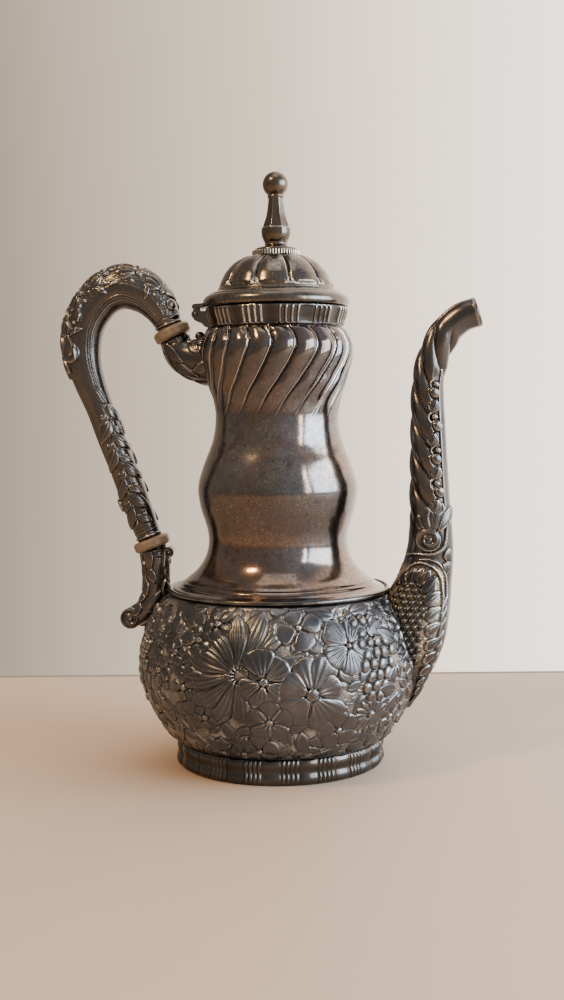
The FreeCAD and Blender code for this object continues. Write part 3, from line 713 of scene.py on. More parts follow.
def bouquet(art, turn):
    """One repeat of the embossed flowers, a third of the way round."""

    def at(degrees, height):
        return degrees + turn, height

    # grass and twigs low down and the tall leaves near the seam
    stem(art, [at(-139, 37), at(-128, 27), at(-118, 19), at(-108, 13)])
    stem(art, [at(-128, 27), at(-131, 20), at(-136, 15)], 0.35)
    stem(art, [at(-72, 12.5), at(-62, 17), at(-52, 24)], 0.35)
    stem(art, [at(-68, 13), at(-56, 17), at(-46, 19)], 0.35)
    for degrees, height, lean, length in TWIG_LEAVES:
        petal(art, at(degrees, height), lean, length, 1.7, tip=0.8, base=0.35, crown=0.5, vein=0.35)
    for degrees, height, lean in TALL_LEAVES:
        petal(art, at(degrees, height), lean, 12, 3.4, tip=0.8, blunt=0.9, base=0.35, crown=0.6,
              vein=0.45, ribs=4, rib=0.08)
    # lily with long ribbed petals
    for lean, length, width in LILY_PETALS:
        petal(art, at(-97.5, 48.5), lean, length, width, start=2.0, tip=1.3, blunt=0.85, base=0.55,
              crown=0.9, ribs=5.5, rib=0.17, vein=0.25, bend=-2.4 if lean < 120 else 1.6)
    # ribbed flower over the lily's heart
    for lean, length, width in RIBBED_PETALS:
        petal(art, at(-88.0, 46.4), lean, length, width, start=0.8, tip=1.9, blunt=0.6, base=0.9,
              crown=0.85, fan=24, rib=0.2, cup=0.35)
    heart(art, at(-88.0, 46.4), 1.7, 1.1)
    # broad flower with a seeded middle
    for lean, length, width in BROAD_PETALS:
        petal(art, at(-69.8, 41.0), lean, length, width, start=1.2, tip=1.8, blunt=0.55, base=0.6,
              crown=0.95, fan=26, rib=0.13, cup=0.45)
    heart(art, at(-69.8, 41.0), 2.5, 1.0)
    # wide five-petalled flower with fanned ribs
    flower(art, at(-53.3, 58.8), 62, 5, 11.4, 5.8, 1.1, tip=1.75, blunt=0.55, base=0.6, crown=0.85, fan=30,
           rib=0.2, cup=0.3)
    # round flower with pointed sepals between its petals
    flower(art, at(-86.2, 29.6), 90, 5, 9.2, 4.6, 1.3, tip=1.6, blunt=0.6, base=0.5, crown=0.8, ribs=2.5,
           rib=0.12)
    for index in range(5):
        petal(art, at(-86.2, 29.6), 126 + index * 72, 6.6, 0.85, start=1.5, tip=0.6, base=1.0, crown=0.45)
    heart(art, at(-86.2, 29.6), 1.5, 1.1)
    # rounded blossoms under the seam
    for lean, length, width in BLOSSOM_PETALS:
        petal(art, at(-74.0, 66.5), lean, length, width, start=0.6, tip=1.7, blunt=0.55, base=0.5,
              crown=0.75, cup=0.2)
    heart(art, at(-74.0, 66.5), 1.2, 1.0)
    flower(art, at(-91.4, 16.0), 90, 5, 7.8, 4.0, 1.2, tip=1.6, blunt=0.6, base=0.4, crown=0.6, ribs=1.5)
    # chrysanthemum of narrow petals
    flower(art, at(-42.3, 29.5), 0, 16, 8.4, 1.3, 1.7, tip=1.4, blunt=0.6, base=0.5, crown=0.55)
    flower(art, at(-57.0, 24.5), 30, 5, 8.6, 4.4, 1.3, tip=1.6, blunt=0.6, base=0.45, crown=0.7, cup=0.2)
    # bunch of berries
    for row in range(8):
        height = 67.5 - row * 4.3
        for column in range(4 if row in (2, 3, 4, 5) else 3):
            degrees = -48.0 + column * 4.7 + (row % 2) * 2.3 + row * 0.25
            berry(art, at(degrees + rng.uniform(-0.4, 0.4), height + rng.uniform(-0.5, 0.5)),
                  rng.uniform(1.9, 2.35), 1.2, rng.uniform(50, 110))
    # small seeded flowers
    for degrees, height in SMALL_FLOWERS:
        lean = rng.uniform(0, 72)
        flower(art, at(degrees, height), lean, 5, rng.uniform(5.2, 6.6), 2.5, 1.35, tip=1.4, blunt=0.7,
               base=0.4, crown=0.7, vein=0.3, ribs=1.5, rib=0.12)


def bowl_relief(angle, line):
    """Three bouquets over loose foliage on a stippled ground, with a groove beside the spout that is darkened
    with painted shade.
    """
    gaps = np.linalg.norm(np.diff(line, axis=0), axis=1)
    art = Relief(angle, line[:, 0], np.concatenate([[0], np.cumsum(gaps)]), line[:, 1])
    foliage(art)
    for turn in BOUQUET_TURNS:
        bouquet(art, turn)
    stipple = soften(rng.uniform(-1, 1, art.lift.shape), 1) * art.ground
    height = line[:, 1:]
    border = step(height, 10.6, 13.0) * step(height, 74.2, 72.2)
    hand = uneven(art.lift.shape, 3, 0.28) + uneven(art.lift.shape, 1, 0.12)
    lift = (art.lift + hand - 0.6 + stipple * 0.4) * border
    tone = worn_tone(art.lift * border, 0.6, 0.35) + art.ground * border * 0.12
    stations = np.array(SPOUT_STATIONS)
    half_width = np.interp(height, stations[:, 1], stations[:, 3])
    beside = np.abs(line[:, :1] * np.sin(angle)) - half_width
    crease_and_shade = np.exp(-((beside - 0.4) / 0.8) ** 2) * (np.cos(angle) > 0)
    crease_and_shade = crease_and_shade * step(height, 24, 34) * step(height, 80, 76)
    # The groove beside the spout is darkened here with painted shade, and kept free of deposit below.
    tone = tone - 0.5 * crease_and_shade
    deposit = art.ground * border * 0.7 * (1 - crease_and_shade)
    patches = uneven(art.lift.shape, 1, 1.0)
    return lift - 0.4 * crease_and_shade, np.clip(tone, 0, 1), deposit * step(patches, -0.35, 0.3)


def build_bowl():
    outer = smooth_line(BOWL_OUTER, BOWL_ROWS)
    inner = inner_of(outer, WALL, 30)
    turned_piece("bowl_embossed", outer, inner, BOWL_COLUMNS, ["bowl"], EMBOSSED, bowl_relief)


# ---------------------------------------------------------------- neck

FLUTES = 20
NECK_COLUMNS = 1080
MOUTH_START = 188.2
# (height, degrees by which the flutes have turned there)
FLUTE_TURN = [(188.0, 0.5), (186.6, 1.0), (184.6, 3.8), (182.0, 5.0), (179.0, 4.6), (176.0, 2.5), (172.2, -0.8),
              (168.5, -5.0), (164.5, -10.0), (161.0, -15.0), (157.0, -20.5), (153.0, -26.0), (148.0, -33.0)]
# (height, share of the surface that grey tarnish covers)
NECK_SMOKE = [(76, 0.0), (90, 0.0), (98, 0.3), (103, 0.7), (115, 0.7), (121, 0.35), (127, 0.0), (146, 0.0),
              (153, 0.5), (176, 0.6), (183, 0.25), (196, 0.1)]


def neck_relief(angle, line):
    """Spiral flutes: each swells up and then drops over a sharp edge. Lines and a step lie near the foot."""
    height = line[:, 1:]
    table = np.array(FLUTE_TURN)[::-1]
    turn = np.radians(np.interp(height, table[:, 0], table[:, 1]))
    phase = ((angle - turn) * FLUTES / TURN) % 1.0
    swell = np.sin(np.clip(phase / 0.86, 0, 1) * math.pi) ** 0.75
    edge = np.exp(-((phase - 0.90) / 0.035) ** 2)
    valley = np.exp(-((((phase + 0.5) % 1.0) - 0.5) / 0.04) ** 2)
    fade = step(height, 150.0, 168.0) * step(height, 188.3, 186.0)
    fine = step(height, 149.0, 160.0) * step(height, 188.3, 186.8)
    lift = fade * (swell * 1.05 - 0.35) + fine * (edge * 0.5 - valley * 0.35)
    # The bright line on each flute's edge is a painted highlight and the dark line in each valley is painted
    # shade.
    tone = PLAIN_TONE + fine * (edge * 0.42 - valley * 0.4)
    rings = np.exp(-((height - 79.4) / 0.35) ** 2) + np.exp(-((height - 77.9) / 0.3) ** 2)
    lift = lift - rings * 0.16
    tone = tone - rings * 0.3
    return lift, np.clip(tone, 0, 1)


def build_neck():
    body = smooth_line(NECK_OUTER, 420)
    mouth = np.array([(MOUTH_RADIUS, 188.3), (MOUTH_RADIUS, 192.0), (MOUTH_RADIUS - 0.1, MOUTH_TOP - 0.2),
                      (MOUTH_RADIUS - 0.3, MOUTH_TOP)])
    inner_body = inner_of(body, WALL, 60)
    mouth_inside = np.array([(MOUTH_RADIUS - 0.9, MOUTH_TOP), (MOUTH_RADIUS - WALL, MOUTH_TOP - 0.3),
                             (MOUTH_RADIUS - WALL, 190.0), (MOUTH_RADIUS - WALL, 188.0)])
    inner = np.vstack([mouth_inside, inner_body[1:]])

    def relief(angle, line):
        lift, tone = neck_relief(angle, line)
        flat = line[:, 1:] > MOUTH_START
        return np.where(flat, 0, lift), np.where(flat, PLAIN_TONE, tone)

    outer = np.vstack([body, mouth])
    piece = turned_piece("neck_fluted", outer, inner, NECK_COLUMNS, ["neck"], NECK_METAL, relief)
    smoke = np.interp(outer[:, 1], *np.transpose(NECK_SMOKE))
    paint(piece, "smoke", np.repeat(smoke, NECK_COLUMNS))


BEAD_CENTRE = (47.1, 75.3)
BEAD_RADIUS = 1.05
BEAD_ROWS = 24
BEAD_COLUMNS = 384


def build_bead():
    """The bead wire on the seam."""
    turn = np.linspace(0, TURN, BEAD_ROWS, endpoint=False)
    radius, height = BEAD_CENTRE
    line = np.stack([radius + BEAD_RADIUS * np.sin(turn), height - BEAD_RADIUS * np.cos(turn)], axis=1)
    angle = full_turn(BEAD_ROWS, BEAD_COLUMNS)
    tone = np.repeat(0.42 + 0.2 * np.sin(turn)[:, None], BEAD_COLUMNS, axis=1)
    make_piece("seam_bead", ringed(line, angle, np.zeros(angle.shape)), tone,
               grid_quads(BEAD_ROWS, BEAD_COLUMNS, True), ["shoulder_bead"], TARNISHED)


# ---------------------------------------------------------------- mouth band

BAND_OUTER = [(28.2, 188.0), (28.35, 188.6), (28.7, 190.6), (29.4, 192.6), (30.0, 194.6), (30.3, 195.9),
              (29.9, 196.4)]
BAND_COLUMNS = 1440
BAND_GROUPS = 12
BAND_REEDS = (-7.5, -2.6, 2.6, 7.5)
BAND_START = 18.0


def band_relief(angle, line):
    """Groups of four narrow reeds with bright worn crests, plain panels between."""
    pitch = TURN / BAND_GROUPS
    place = wrap((angle - math.radians(BAND_START)) * BAND_GROUPS) / BAND_GROUPS
    degrees = np.degrees(place)
    height = line[:, 1:]
    lift = np.zeros_like(angle)
    for centre in BAND_REEDS:
        lift = np.maximum(lift, np.clip(1 - ((degrees - centre) / 1.25) ** 2, 0, 1) ** 0.6)
    upright = np.clip(np.minimum(height - 188.3, 195.6 - height) / 0.9, 0, 1) ** 0.6
    panel = step(np.abs(degrees), 9.0, 10.0)
    dish = np.clip(1 - ((15 - np.abs(degrees)) / 5.5) ** 2, 0, 1) * panel
    mottle = 0.5 + 0.5 * np.sin(angle * 7 + 1.3) * np.sin(angle * 3 + 0.4)
    shape = upright * (lift * 0.75 - dish * 0.25)
    rim = hump(height, 195.7, 0.9) * 0.25 + hump(height, 188.5, 0.6) * 0.25
    tone = 0.42 + upright * lift * (0.2 + 0.3 * mottle) - dish * 0.1 + rim
    return shape + rim * 0.3, np.clip(tone, 0, 1)


def build_band():
    outer = smooth_line(BAND_OUTER, 44)
    inner = np.array([(MOUTH_RADIUS + 0.05, height) for height in (196.4, 192.0, 188.0)])
    turned_piece("mouth_band_reeded", outer, inner, BAND_COLUMNS, ["mouth_band"], TARNISHED, band_relief)


# ---------------------------------------------------------------- lid

DOME_OUTER = [
    (24.4, 203.5), (23.8, 206.0), (22.9, 208.1), (21.8, 210.3), (20.2, 212.4), (18.1, 214.5), (15.4, 216.2),
    (12.6, 217.5), (10.0, 218.1),
]
DOME_TOP = [(8.0, 218.15), (5.0, 218.15), (2.2, 218.15)]
DOME_INNER = [
    (2.2, 216.9), (5.0, 216.9), (9.6, 216.9), (12.0, 216.4), (14.7, 215.2), (17.3, 213.6), (19.2, 211.6),
    (20.8, 209.6), (21.8, 207.6), (22.7, 205.6), (23.3, 203.5),
]
DOME_COLUMNS = 800
DOME_LOBES = 10
DOME_TURN = 4.0
DART_BASE = 208.6
FLANGE_COLUMNS = 360
FLANGE_OUTER = [
    (30.9, 196.7), (31.4, 197.2), (31.6, 198.4), (31.1, 200.0), (30.0, 201.2), (29.2, 201.6), (28.8, 202.0),
    (27.4, 202.7), (26.0, 203.2), (25.3, 203.6), (25.1, 204.2), (24.6, 204.5), (24.0, 204.3),
]
FLANGE_INNER = [(23.2, 203.6), (23.2, 202.3), (26.0, 201.5), (28.6, 200.0), (29.8, 198.2), (29.9, 196.7)]


def dome_relief(angle, line):
    """Ten melon lobes with narrow grooves, and a dart at the foot of each groove."""
    height = line[:, 1:]
    radius = line[:, :1]
    place = wrap((angle - math.radians(DOME_TURN)) * DOME_LOBES) / DOME_LOBES
    half = math.pi / DOME_LOBES
    across = np.abs(place) / half
    lobe = np.sqrt(np.clip(1 - (1 - across) ** 2.4, 0, 1))
    gap = np.abs(place) * radius
    groove = np.exp(-(gap / 0.55) ** 2)
    on = step(height, 204.6, 206.3) * step(radius, 9.8, 13.0)
    reach = 2.4 * np.clip((DART_BASE - height) / 4.2, 0.02, 1)
    dart = step(gap, reach + 0.2, reach - 0.3) * step(height, 208.8, 208.0) * step(height, 204.2, 204.8)
    lift = on * (lobe * 1.5 - 0.9) - groove * on * 0.35 + dart * 0.55
    tone = 0.5 - groove * on * 0.45 + dart * 0.4 + np.exp(-((gap - 1.0) / 0.4) ** 2) * on * 0.25
    return lift, np.clip(tone, 0, 1)


def build_lid():
    dome = np.vstack([smooth_line(DOME_OUTER, 150), DOME_TOP])
    turned_piece("lid_dome_lobed", dome, np.array(DOME_INNER), DOME_COLUMNS, ["lid_dome"], LID_METAL,
                 dome_relief, body="lid")
    turned_piece("lid_flange_stepped", smooth_line(FLANGE_OUTER, 90), np.array(FLANGE_INNER),
                 FLANGE_COLUMNS, ["lid_flange"], LID_METAL, body="lid")
    build_milled_collar()
    build_finial()


COLLAR_COLUMNS = 1040
COLLAR_TEETH = 52


def build_milled_collar():
    """The collar under the finial, with upright teeth round its rim."""
    low, high = node_box("milled_collar")[0][2], node_box("milled_collar")[1][2]
    outer = np.array([(2.1, low), (9.0, low), (9.8, low + 0.05), (10.1, low + 0.3), (10.15, low + 0.8),
                      (10.15, high - 0.8), (10.1, high - 0.3), (9.8, high - 0.05), (9.0, high), (2.1, high)])
    outer = np.vstack([outer[:3], smooth_line(outer[2:8], 16)[1:-1], outer[7:]])

    def relief(angle, line):
        teeth = np.abs(np.cos(angle * COLLAR_TEETH / 2)) ** 0.8
        rim = step(line[:, :1], 9.6, 10.05)
        tone = 0.5 + rim * (teeth - 0.45) * 0.9
        return rim * (teeth - 0.7) * 0.5, np.clip(tone, 0, 1)

    turned_plug("milled_collar_knurled", outer, COLLAR_COLUMNS, ["milled_collar"], WORN, relief, "lid")


FINIAL_LINE = [
    (9.1, 220.6), (8.9, 221.2), (7.6, 221.8), (5.9, 222.4), (5.0, 222.9), (4.8, 223.5), (5.0, 224.2),
    (5.7, 225.2), (6.3, 226.8), (6.5, 228.5), (6.3, 230.1),
]
FINIAL_RING = [(3.5, 243.1), (3.6, 243.4), (3.4, 243.7)]
FINIAL_SIDES = 8
FINIAL_BALL = 5.5
FINIAL_COLUMNS = 320
FINIAL_STEM = [(6.1, 230.3), (5.6, 231.9), (4.9, 233.6), (4.4, 235.3), (3.9, 237.8), (3.55, 240.3),
               (3.35, 242.9)]


def build_finial():
    """The turned finial: a bulb, an eight-sided tapering stem, a ring and a ball."""
    ball_centre = node_box("finial")[1][2] - FINIAL_BALL
    turn = np.linspace(math.asin(3.3 / FINIAL_BALL), math.pi - 0.02, 60)
    ball = np.stack([FINIAL_BALL * np.sin(turn), ball_centre - FINIAL_BALL * np.cos(turn)], axis=1)
    line = np.vstack([[(0.6, 220.6)], smooth_line(FINIAL_LINE, 70), smooth_line(FINIAL_STEM, 60),
                      FINIAL_RING, ball])

    def relief(angle, line):
        height = line[:, 1:]
        half = math.pi / FINIAL_SIDES
        facet = wrap((angle - math.radians(10)) * FINIAL_SIDES) / FINIAL_SIDES
        flat = 1 / np.cos(facet) * math.cos(half)
        on = step(height, 229.9, 230.4) * step(height, 243.2, 242.4)
        low = step(height, 224.4, 225.4) * step(height, 230.2, 229.6) * 0.5
        lift = line[:, :1] * (flat - 1) * (on + low)
        crest = np.exp(-((np.abs(facet) - half) / 0.03) ** 2) * on
        edge = np.exp(-((height - 230.3) / 0.3) ** 2)
        tone = 0.48 + crest * 0.35 + edge * 0.4
        return lift, np.clip(tone, 0, 1)

    turned_plug("finial_turned", line, FINIAL_COLUMNS, ["finial"], WORN, relief, "lid")


# ---------------------------------------------------------------- spout

SPOUT_STATIONS = [
    (55.2, 23.8, 1.8, 1.6), (56.9, 29.0, 3.6, 4.6), (56.6, 35.0, 7.0, 9.0), (56.2, 44.5, 12.4, 14.6),
    (56.6, 53.0, 15.2, 17.2), (57.6, 62.0, 15.9, 16.8), (60.0, 71.0, 14.4, 14.4), (62.6, 79.0, 12.2, 11.4),
    (64.6, 86.0, 10.7, 9.4), (65.5, 92.0, 10.0, 8.9), (65.8, 100.4, 9.3, 8.6), (65.7, 109.7, 8.6, 8.2),
    (65.4, 119.1, 8.2, 8.0), (65.2, 127.3, 7.9, 7.8), (65.0, 135.1, 7.6, 7.5), (64.8, 146.6, 7.2, 7.2),
    (64.6, 155.7, 6.9, 7.0), (64.8, 163.7, 6.6, 6.7), (65.9, 170.9, 6.4, 6.5), (67.8, 177.0, 6.3, 6.4),
    (70.6, 182.6, 6.3, 6.3), (74.6, 187.6, 6.4, 6.2), (79.6, 191.3, 6.3, 6.1), (85.5, 193.2, 6.1, 6.0),
]
# acanthus lobes on the panel's outer edge: degrees round, height, direction, length and half width
ACANTHUS = [(132, 82.8, 262, 5.2, 1.9), (116, 84.6, 268, 6.2, 2.2), (100, 85.2, 262, 7.0, 2.4),
            (84, 84.6, 250, 7.4, 2.6), (66, 81.5, 228, 8.2, 3.0), (54, 75.5, 212, 8.6, 3.1),
            (47, 69.0, 206, 8.8, 3.1), (43, 62.5, 205, 8.6, 3.0), (41, 56.0, 206, 8.2, 2.8),
            (41, 50.0, 210, 7.4, 2.5), (42, 44.0, 214, 6.6, 2.2), (44, 38.5, 220, 5.4, 1.8),
            (50, 33.5, 226, 4.2, 1.3)]
SPOUT_ROWS = 600
SPOUT_COLUMNS = 288
SPOUT_WALL = 1.4
TWIST_STRANDS = 4
TWIST_LEAD = 54.0
# the arched moulding round the beaded panel, as (degrees round the spout, height)
ARCH = [(156, 76.0), (142, 82.5), (120, 86.8), (92, 87.2), (66, 84.5), (48, 78.0), (40, 69.0), (37, 58.0),
        (38, 46.0), (42, 36.0), (52, 29.0)]


def scroll(art, place, turn, radius, hand=1, coils=1.6, base=0.8):
    """A spiral volute with a bead in its eye. hand is 1 or -1."""
    spot, x, y = art.local(place, turn, radius + 2)
    rho = np.hypot(x, y)
    arm = coils * rho / radius - hand * np.arctan2(y, x) / TURN
    ridge = 0.5 + 0.5 * np.cos(TURN * arm)
    cover = step(rho, radius + 0.2, radius - 0.4)
    art.lay(spot, cover, base + 0.75 * ridge**0.8)
    art.cut(spot, 0.3 * np.exp(-((rho - radius - 0.2) / 0.35) ** 2))
    berry(art, place, 0.17 * radius + 0.5)


def arch_band(art, sign):
    """Twin fillets round the panel, with acanthus lobes that hang from them towards the panel."""
    stem(art, [(sign * degrees, height) for degrees, height in ARCH], 0.42, 0.8)
    stem(art, [(sign * (degrees - 9), height + 1.9) for degrees, height in ARCH[2:8]], 0.3, 0.6)
    for degrees, height, lean, length, width in ACANTHUS:
        turn = lean if sign < 0 else 180 - lean
        petal(art, (sign * degrees, height), turn, length, width, start=-1.0, tip=1.7, blunt=0.55, base=0.6,
              crown=0.9, ribs=2.5, rib=0.16, vein=0.35, bend=-0.8 * sign)
    for index in range(9):
        height = 74 - index * 5.0
        turn = 250 if sign < 0 else 290
        petal(art, (sign * (32 - index * 0.6), height), turn, 9.0, 1.5, start=-1.0, tip=1.2, base=0.35,
              crown=0.5, ribs=1.5, rib=0.12)


def bead_panel(art, sign):
    """Close rows of beads in a triangle that narrows downwards."""
    for row in range(15):
        height = 81.5 - row * 2.5
        radius = float(np.interp(height, art.height, art.radius))
        low = 72 + 0.2 * row
        high = 150 - 4.6 * row
        gap = math.degrees(3.25 / radius)
        count = int((high - low) / gap)
        for index in range(count + 1):
            degrees = low + (index + 0.5 * (row % 2)) * gap
            if degrees < high + 0.1:
                berry(art, (sign * degrees, height), 1.32)


def volute_group(art, sign):
    """The volute, the ribbed leaf that grows out of it and the diamond leaf on the outer side."""
    for lean, length, width in ((128, 9, 2.2), (104, 11, 2.8), (82, 13, 3.2), (58, 14, 2.8)):
        turn = lean if sign < 0 else 180 - lean
        petal(art, (sign * 84, 97.5), turn, length, width, start=3.0, tip=1.4, blunt=0.7, base=0.6,
              crown=0.85, ribs=2.5, rib=0.16, vein=0.4, bend=1.6 * sign)
    stem(art, [(sign * 150, 89.5), (sign * 128, 90.6), (sign * 100, 91.2), (sign * 72, 92.5),
               (sign * 50, 97.0), (sign * 44, 104.0)], 0.5, 0.8)
    scroll(art, (sign * 94, 97.4), 0 if sign < 0 else 180, 5.0, -sign, 1.7)
    for lean in (90, 270):
        petal(art, (sign * 40, 89.0), lean, 6.0, 2.6, start=-0.5, tip=0.9, base=0.5, crown=0.7, vein=0.4,
              ribs=2)


def pebble_border(art, sign):
    """Pebbles and small ribbed shells down both edges of the smooth outer strip."""
    height = 163.0
    index = 0
    while height > 108:
        size = (1.5, 2.5, 2.1)[index % 3]
        degrees = 62 + (5 if index % 2 else -2)
        if index % 3 == 2:
            petal(art, (sign * degrees, height + 2.6), 270 + sign * 18, 6.0, 2.6, start=-0.3, tip=1.6,
                  blunt=0.55, base=0.35, crown=0.95, ribs=2.5, rib=0.2)
        else:
            berry(art, (sign * degrees, height), size * 0.85, 1.2, 90 - sign * 30)
        stem(art, [(sign * (degrees + 12), height + 2.0), (sign * (degrees + 22), height),
                   (sign * (degrees + 14), height - 2.6)], 0.35, 0.5)
        height -= 2 * size + 0.6
        index += 1
    stem(art, [(sign * 44, 170.0), (sign * 49, 160.0), (sign * 48, 140.0), (sign * 46, 110.0)], 0.32, 0.55)


def spout_relief(angle, path):
    """Beads and leaves low down on both flanks, and above them twisted strands on the inner side."""
    radius = 0.5 * (path.side + path.across)
    art = Relief(angle, radius, path.length, path.centre[:, 2])
    height = path.centre[:, 2][:, None]
    around = wrap(angle)
    turned_by = TWIST_STRANDS * (around + TURN * path.length[:, None] / TWIST_LEAD)
    rope_zone = step(np.abs(around), math.radians(70), math.radians(78))
    rope_zone = np.maximum(rope_zone, step(height, 166, 172))
    rope_zone = rope_zone * step(height, 103, 110) * step(height, 188, 183)
    lobes = np.abs(np.cos(turned_by / 2)) ** 0.55
    art.lift = rope_zone * (lobes * 1.8 - 1.15)
    panel = step(height, 87, 84) * step(np.abs(around), math.radians(40), math.radians(48))
    art.ground = panel * step(height, 25, 30)
    for sign in (-1, 1):
        bead_panel(art, sign)
        arch_band(art, sign)
        volute_group(art, sign)
        pebble_border(art, sign)
    seam = np.exp(-(((np.abs(around) - math.radians(150)) * radius[:, None]) / 0.3) ** 2)
    seam = seam * step(height, 176, 184)
    rim = np.exp(-((path.length[:, None] - path.length[-1] + 0.9) / 0.7) ** 2)
    stipple = soften(rng.uniform(-1, 1, angle.shape), 1) * art.ground
    lift = art.lift + stipple * 0.5 + seam * 0.35 + rim * 0.15 + uneven(angle.shape, 2, 0.12)
    tone = worn_tone(art.lift) + seam * 0.3 + rim * 0.2
    beaded = step(height, 43, 46) * step(height, 84, 82) * step(np.degrees(np.abs(around)), 64, 70)
    tone = np.where(tone > 0.42, 0.42 + (tone - 0.42) * (1 - 0.85 * beaded), tone)
    gilt = 0.75 * art.ground * step(height, 40, 54)
    return lift, np.clip(tone, 0, 1), gilt


def build_spout():
    """The spout with its wall, whose inside is modelled over the upper half."""
    path = Path(SPOUT_STATIONS, SPOUT_ROWS)
    level = step(path.centre[:, 2], 92.0, 80.0)[:, None]
    path.right = path.right * (1 - level) + np.array([1.0, 0, 0]) * level
    path.right /= np.linalg.norm(path.right, axis=1, keepdims=True)
    angle = full_turn(SPOUT_ROWS, SPOUT_COLUMNS)
    lift, tone, gilt = spout_relief(angle, path)
    outside = keep_outside(path.section(angle, lift), BOWL_OUTER, 0.5)
    inside = path.section(angle, -SPOUT_WALL)[SPOUT_ROWS:SPOUT_ROWS // 2:-6]
    lip = path.section(angle, -0.5)[-1:] + path.tangent[-1] * 0.5
    vertices = np.concatenate([outside, lip, inside])
    tone = np.vstack([tone, np.full((len(vertices) - SPOUT_ROWS, SPOUT_COLUMNS), INSIDE_TONE)])
    piece = tube_with_ends("spout_embossed", vertices, tone, ["spout_left", "spout_right"], CAST)
    paint(piece, "gilt", gilt)


# ---------------------------------------------------------------- handle

GRIP_STATIONS = [
    (-46.9, 188.5, 5.4, 5.4), (-48.6, 192.8, 6.4, 6.0), (-52.4, 198.6, 7.6, 7.0), (-58.4, 203.8, 8.8, 7.6),
    (-66.8, 206.2, 9.2, 7.8), (-74.4, 203.8, 9.2, 7.8), (-80.7, 197.6, 9.1, 7.8), (-85.0, 189.6, 9.0, 7.6),
    (-86.2, 181.0, 8.6, 7.4), (-85.2, 172.4, 7.8, 7.2), (-82.8, 164.6, 6.9, 6.8), (-78.9, 154.6, 6.1, 6.4),
    (-73.7, 140.4, 6.0, 6.3), (-68.3, 126.8, 6.0, 6.3), (-63.4, 113.4, 6.1, 6.3), (-59.9, 103.6, 5.8, 6.0),
    (-57.2, 96.5, 5.4, 5.4),
]
GRIP_ROWS = 620
GRIP_COLUMNS = 250
GRIP_ARC_END = 72.0
SHELL_PLACES = (13.0, 23.0, 33.0, 43.5, 53.0)
SHELL_LEANS = (-54, -27, 0, 27, 54)
VINE_START = 92.0
SOCKET_ROWS = 150
SOCKET_COLUMNS = 200
# insulators: place x and z, direction x and z, thickness
UPPER_INSULATOR = (-45.9, 186.3, 0.411, -0.912, 4.8)
LOWER_INSULATOR = (-56.4, 94.4, 0.358, -0.934, 4.6)
INSULATOR_RADIUS = 8.2
CROSS_PIN_OFFSET = 3.4
UPPER_SOCKET_STATIONS = [
    (-44.91, 184.11, 5.4, 5.4), (-43.6, 180.6, 5.9, 5.8), (-41.0, 177.3, 7.0, 6.6),
    (-36.6, 175.2, 8.6, 7.6), (-31.5, 174.6, 9.9, 8.6), (-26.0, 174.6, 10.4, 9.0),
]
UPPER_SOCKET_BALL = (-33.6, 184.6, 2.2)
LOWER_SOCKET_STATIONS = [
    (-55.58, 92.25, 5.4, 5.4), (-54.9, 88.2, 5.6, 5.6), (-54.8, 81.0, 5.2, 5.4), (-55.2, 74.0, 4.9, 5.4),
    (-56.7, 68.2, 5.0, 5.6), (-59.8, 63.8, 4.7, 5.4), (-64.0, 61.6, 4.2, 5.0),
]
SOCKET_SCROLL = (-65.6, 61.4, 4.6, 5.4)
SOCKET_CURL = (-48.4, 90.6, 2.3, 3.4)


def path_relief(angle, path):
    """An empty relief over a swept piece, whose places are (degrees, length along the path)."""
    return Relief(angle, 0.5 * (path.side + path.across), path.length, path.length)


def grip_shells(art, sign):
    """Ruffled shells and fans in the outer strip along one flank of the arch, and one scroll at its end."""
    for index, length in enumerate(SHELL_PLACES):
        for lean in SHELL_LEANS:
            turn = 90 + sign * 20 + lean
            petal(art, (sign * 42, length), turn, 6.4, 1.55, start=0.8, tip=1.7, blunt=0.55, base=0.45,
                  crown=0.85, ribs=1.5, rib=0.15, vein=0.25)
        berry(art, (sign * 42, length), 1.25)
        petal(art, (sign * 66, length + 5.0), 90 - sign * (30 if index % 2 else 120), 6.5, 1.3,
              start=-1.0, tip=1.1, base=0.4, crown=0.7, vein=0.35)
        berry(art, (sign * 70, length + 1.0), 0.8)
    scroll(art, (sign * 64, 66.0), 90, 4.2, sign, 1.4, 0.5)
    petal(art, (sign * 60, 58.0), 90, 7.5, 2.0, start=0.5, tip=1.3, base=0.45, crown=0.7, ribs=2, rib=0.15,
          vein=0.3)


def grip_crest(art):
    """Overlapping leaves along the outer side of the arch."""
    for index in range(8):
        length = 66 - index * 8.2
        for lean, width in ((-38, 2.2), (38, 2.2), (0, 3.0)):
            petal(art, (0, length), 90 + lean, 10.0, width, start=-0.5, tip=1.2, blunt=0.75, base=0.6,
                  crown=0.8, ribs=2.5, rib=0.15, vein=0.45)


def grip_vine(art, sign):
    """A vine of broad leaves, first to one side and then the other, down one flank of the straight part."""
    places = [(sign * (128 - 6.6 * k + 7 * math.sin(k * 1.9)), VINE_START + k * 6.6) for k in range(9)]
    stem(art, places, 0.5, 0.55)
    for index, (degrees, length) in enumerate(places[:-1]):
        side = -1 if index % 2 else 1
        petal(art, (degrees, length - 1.0), 90 + side * 30, 12.0, 2.9, start=0.0, tip=0.95, blunt=0.9,
              base=0.35, crown=0.85, vein=0.5, ribs=1.5, rib=0.07, bend=side * 2.2)
        petal(art, (degrees, length + 2.5), 90 - side * 38, 7.5, 2.0, start=0.2, tip=0.95, blunt=0.9,
              base=0.35, crown=0.65, vein=0.45, bend=-side * 1.2)
        berry(art, (degrees + side * 30, length + 3.4), 0.75)
    petal(art, (sign * 128, VINE_START - 2), 275 - sign * 10, 9.0, 2.1, start=-1.0, tip=0.9, base=0.35,
          crown=0.7, vein=0.4)


def fillet_lines(gap, radius, degrees, width, height):
    """Thin raised lines along a swept piece at the same angle on both flanks."""
    return height * np.exp(-(((gap - degrees) * math.pi / 180 * radius) / width) ** 2)


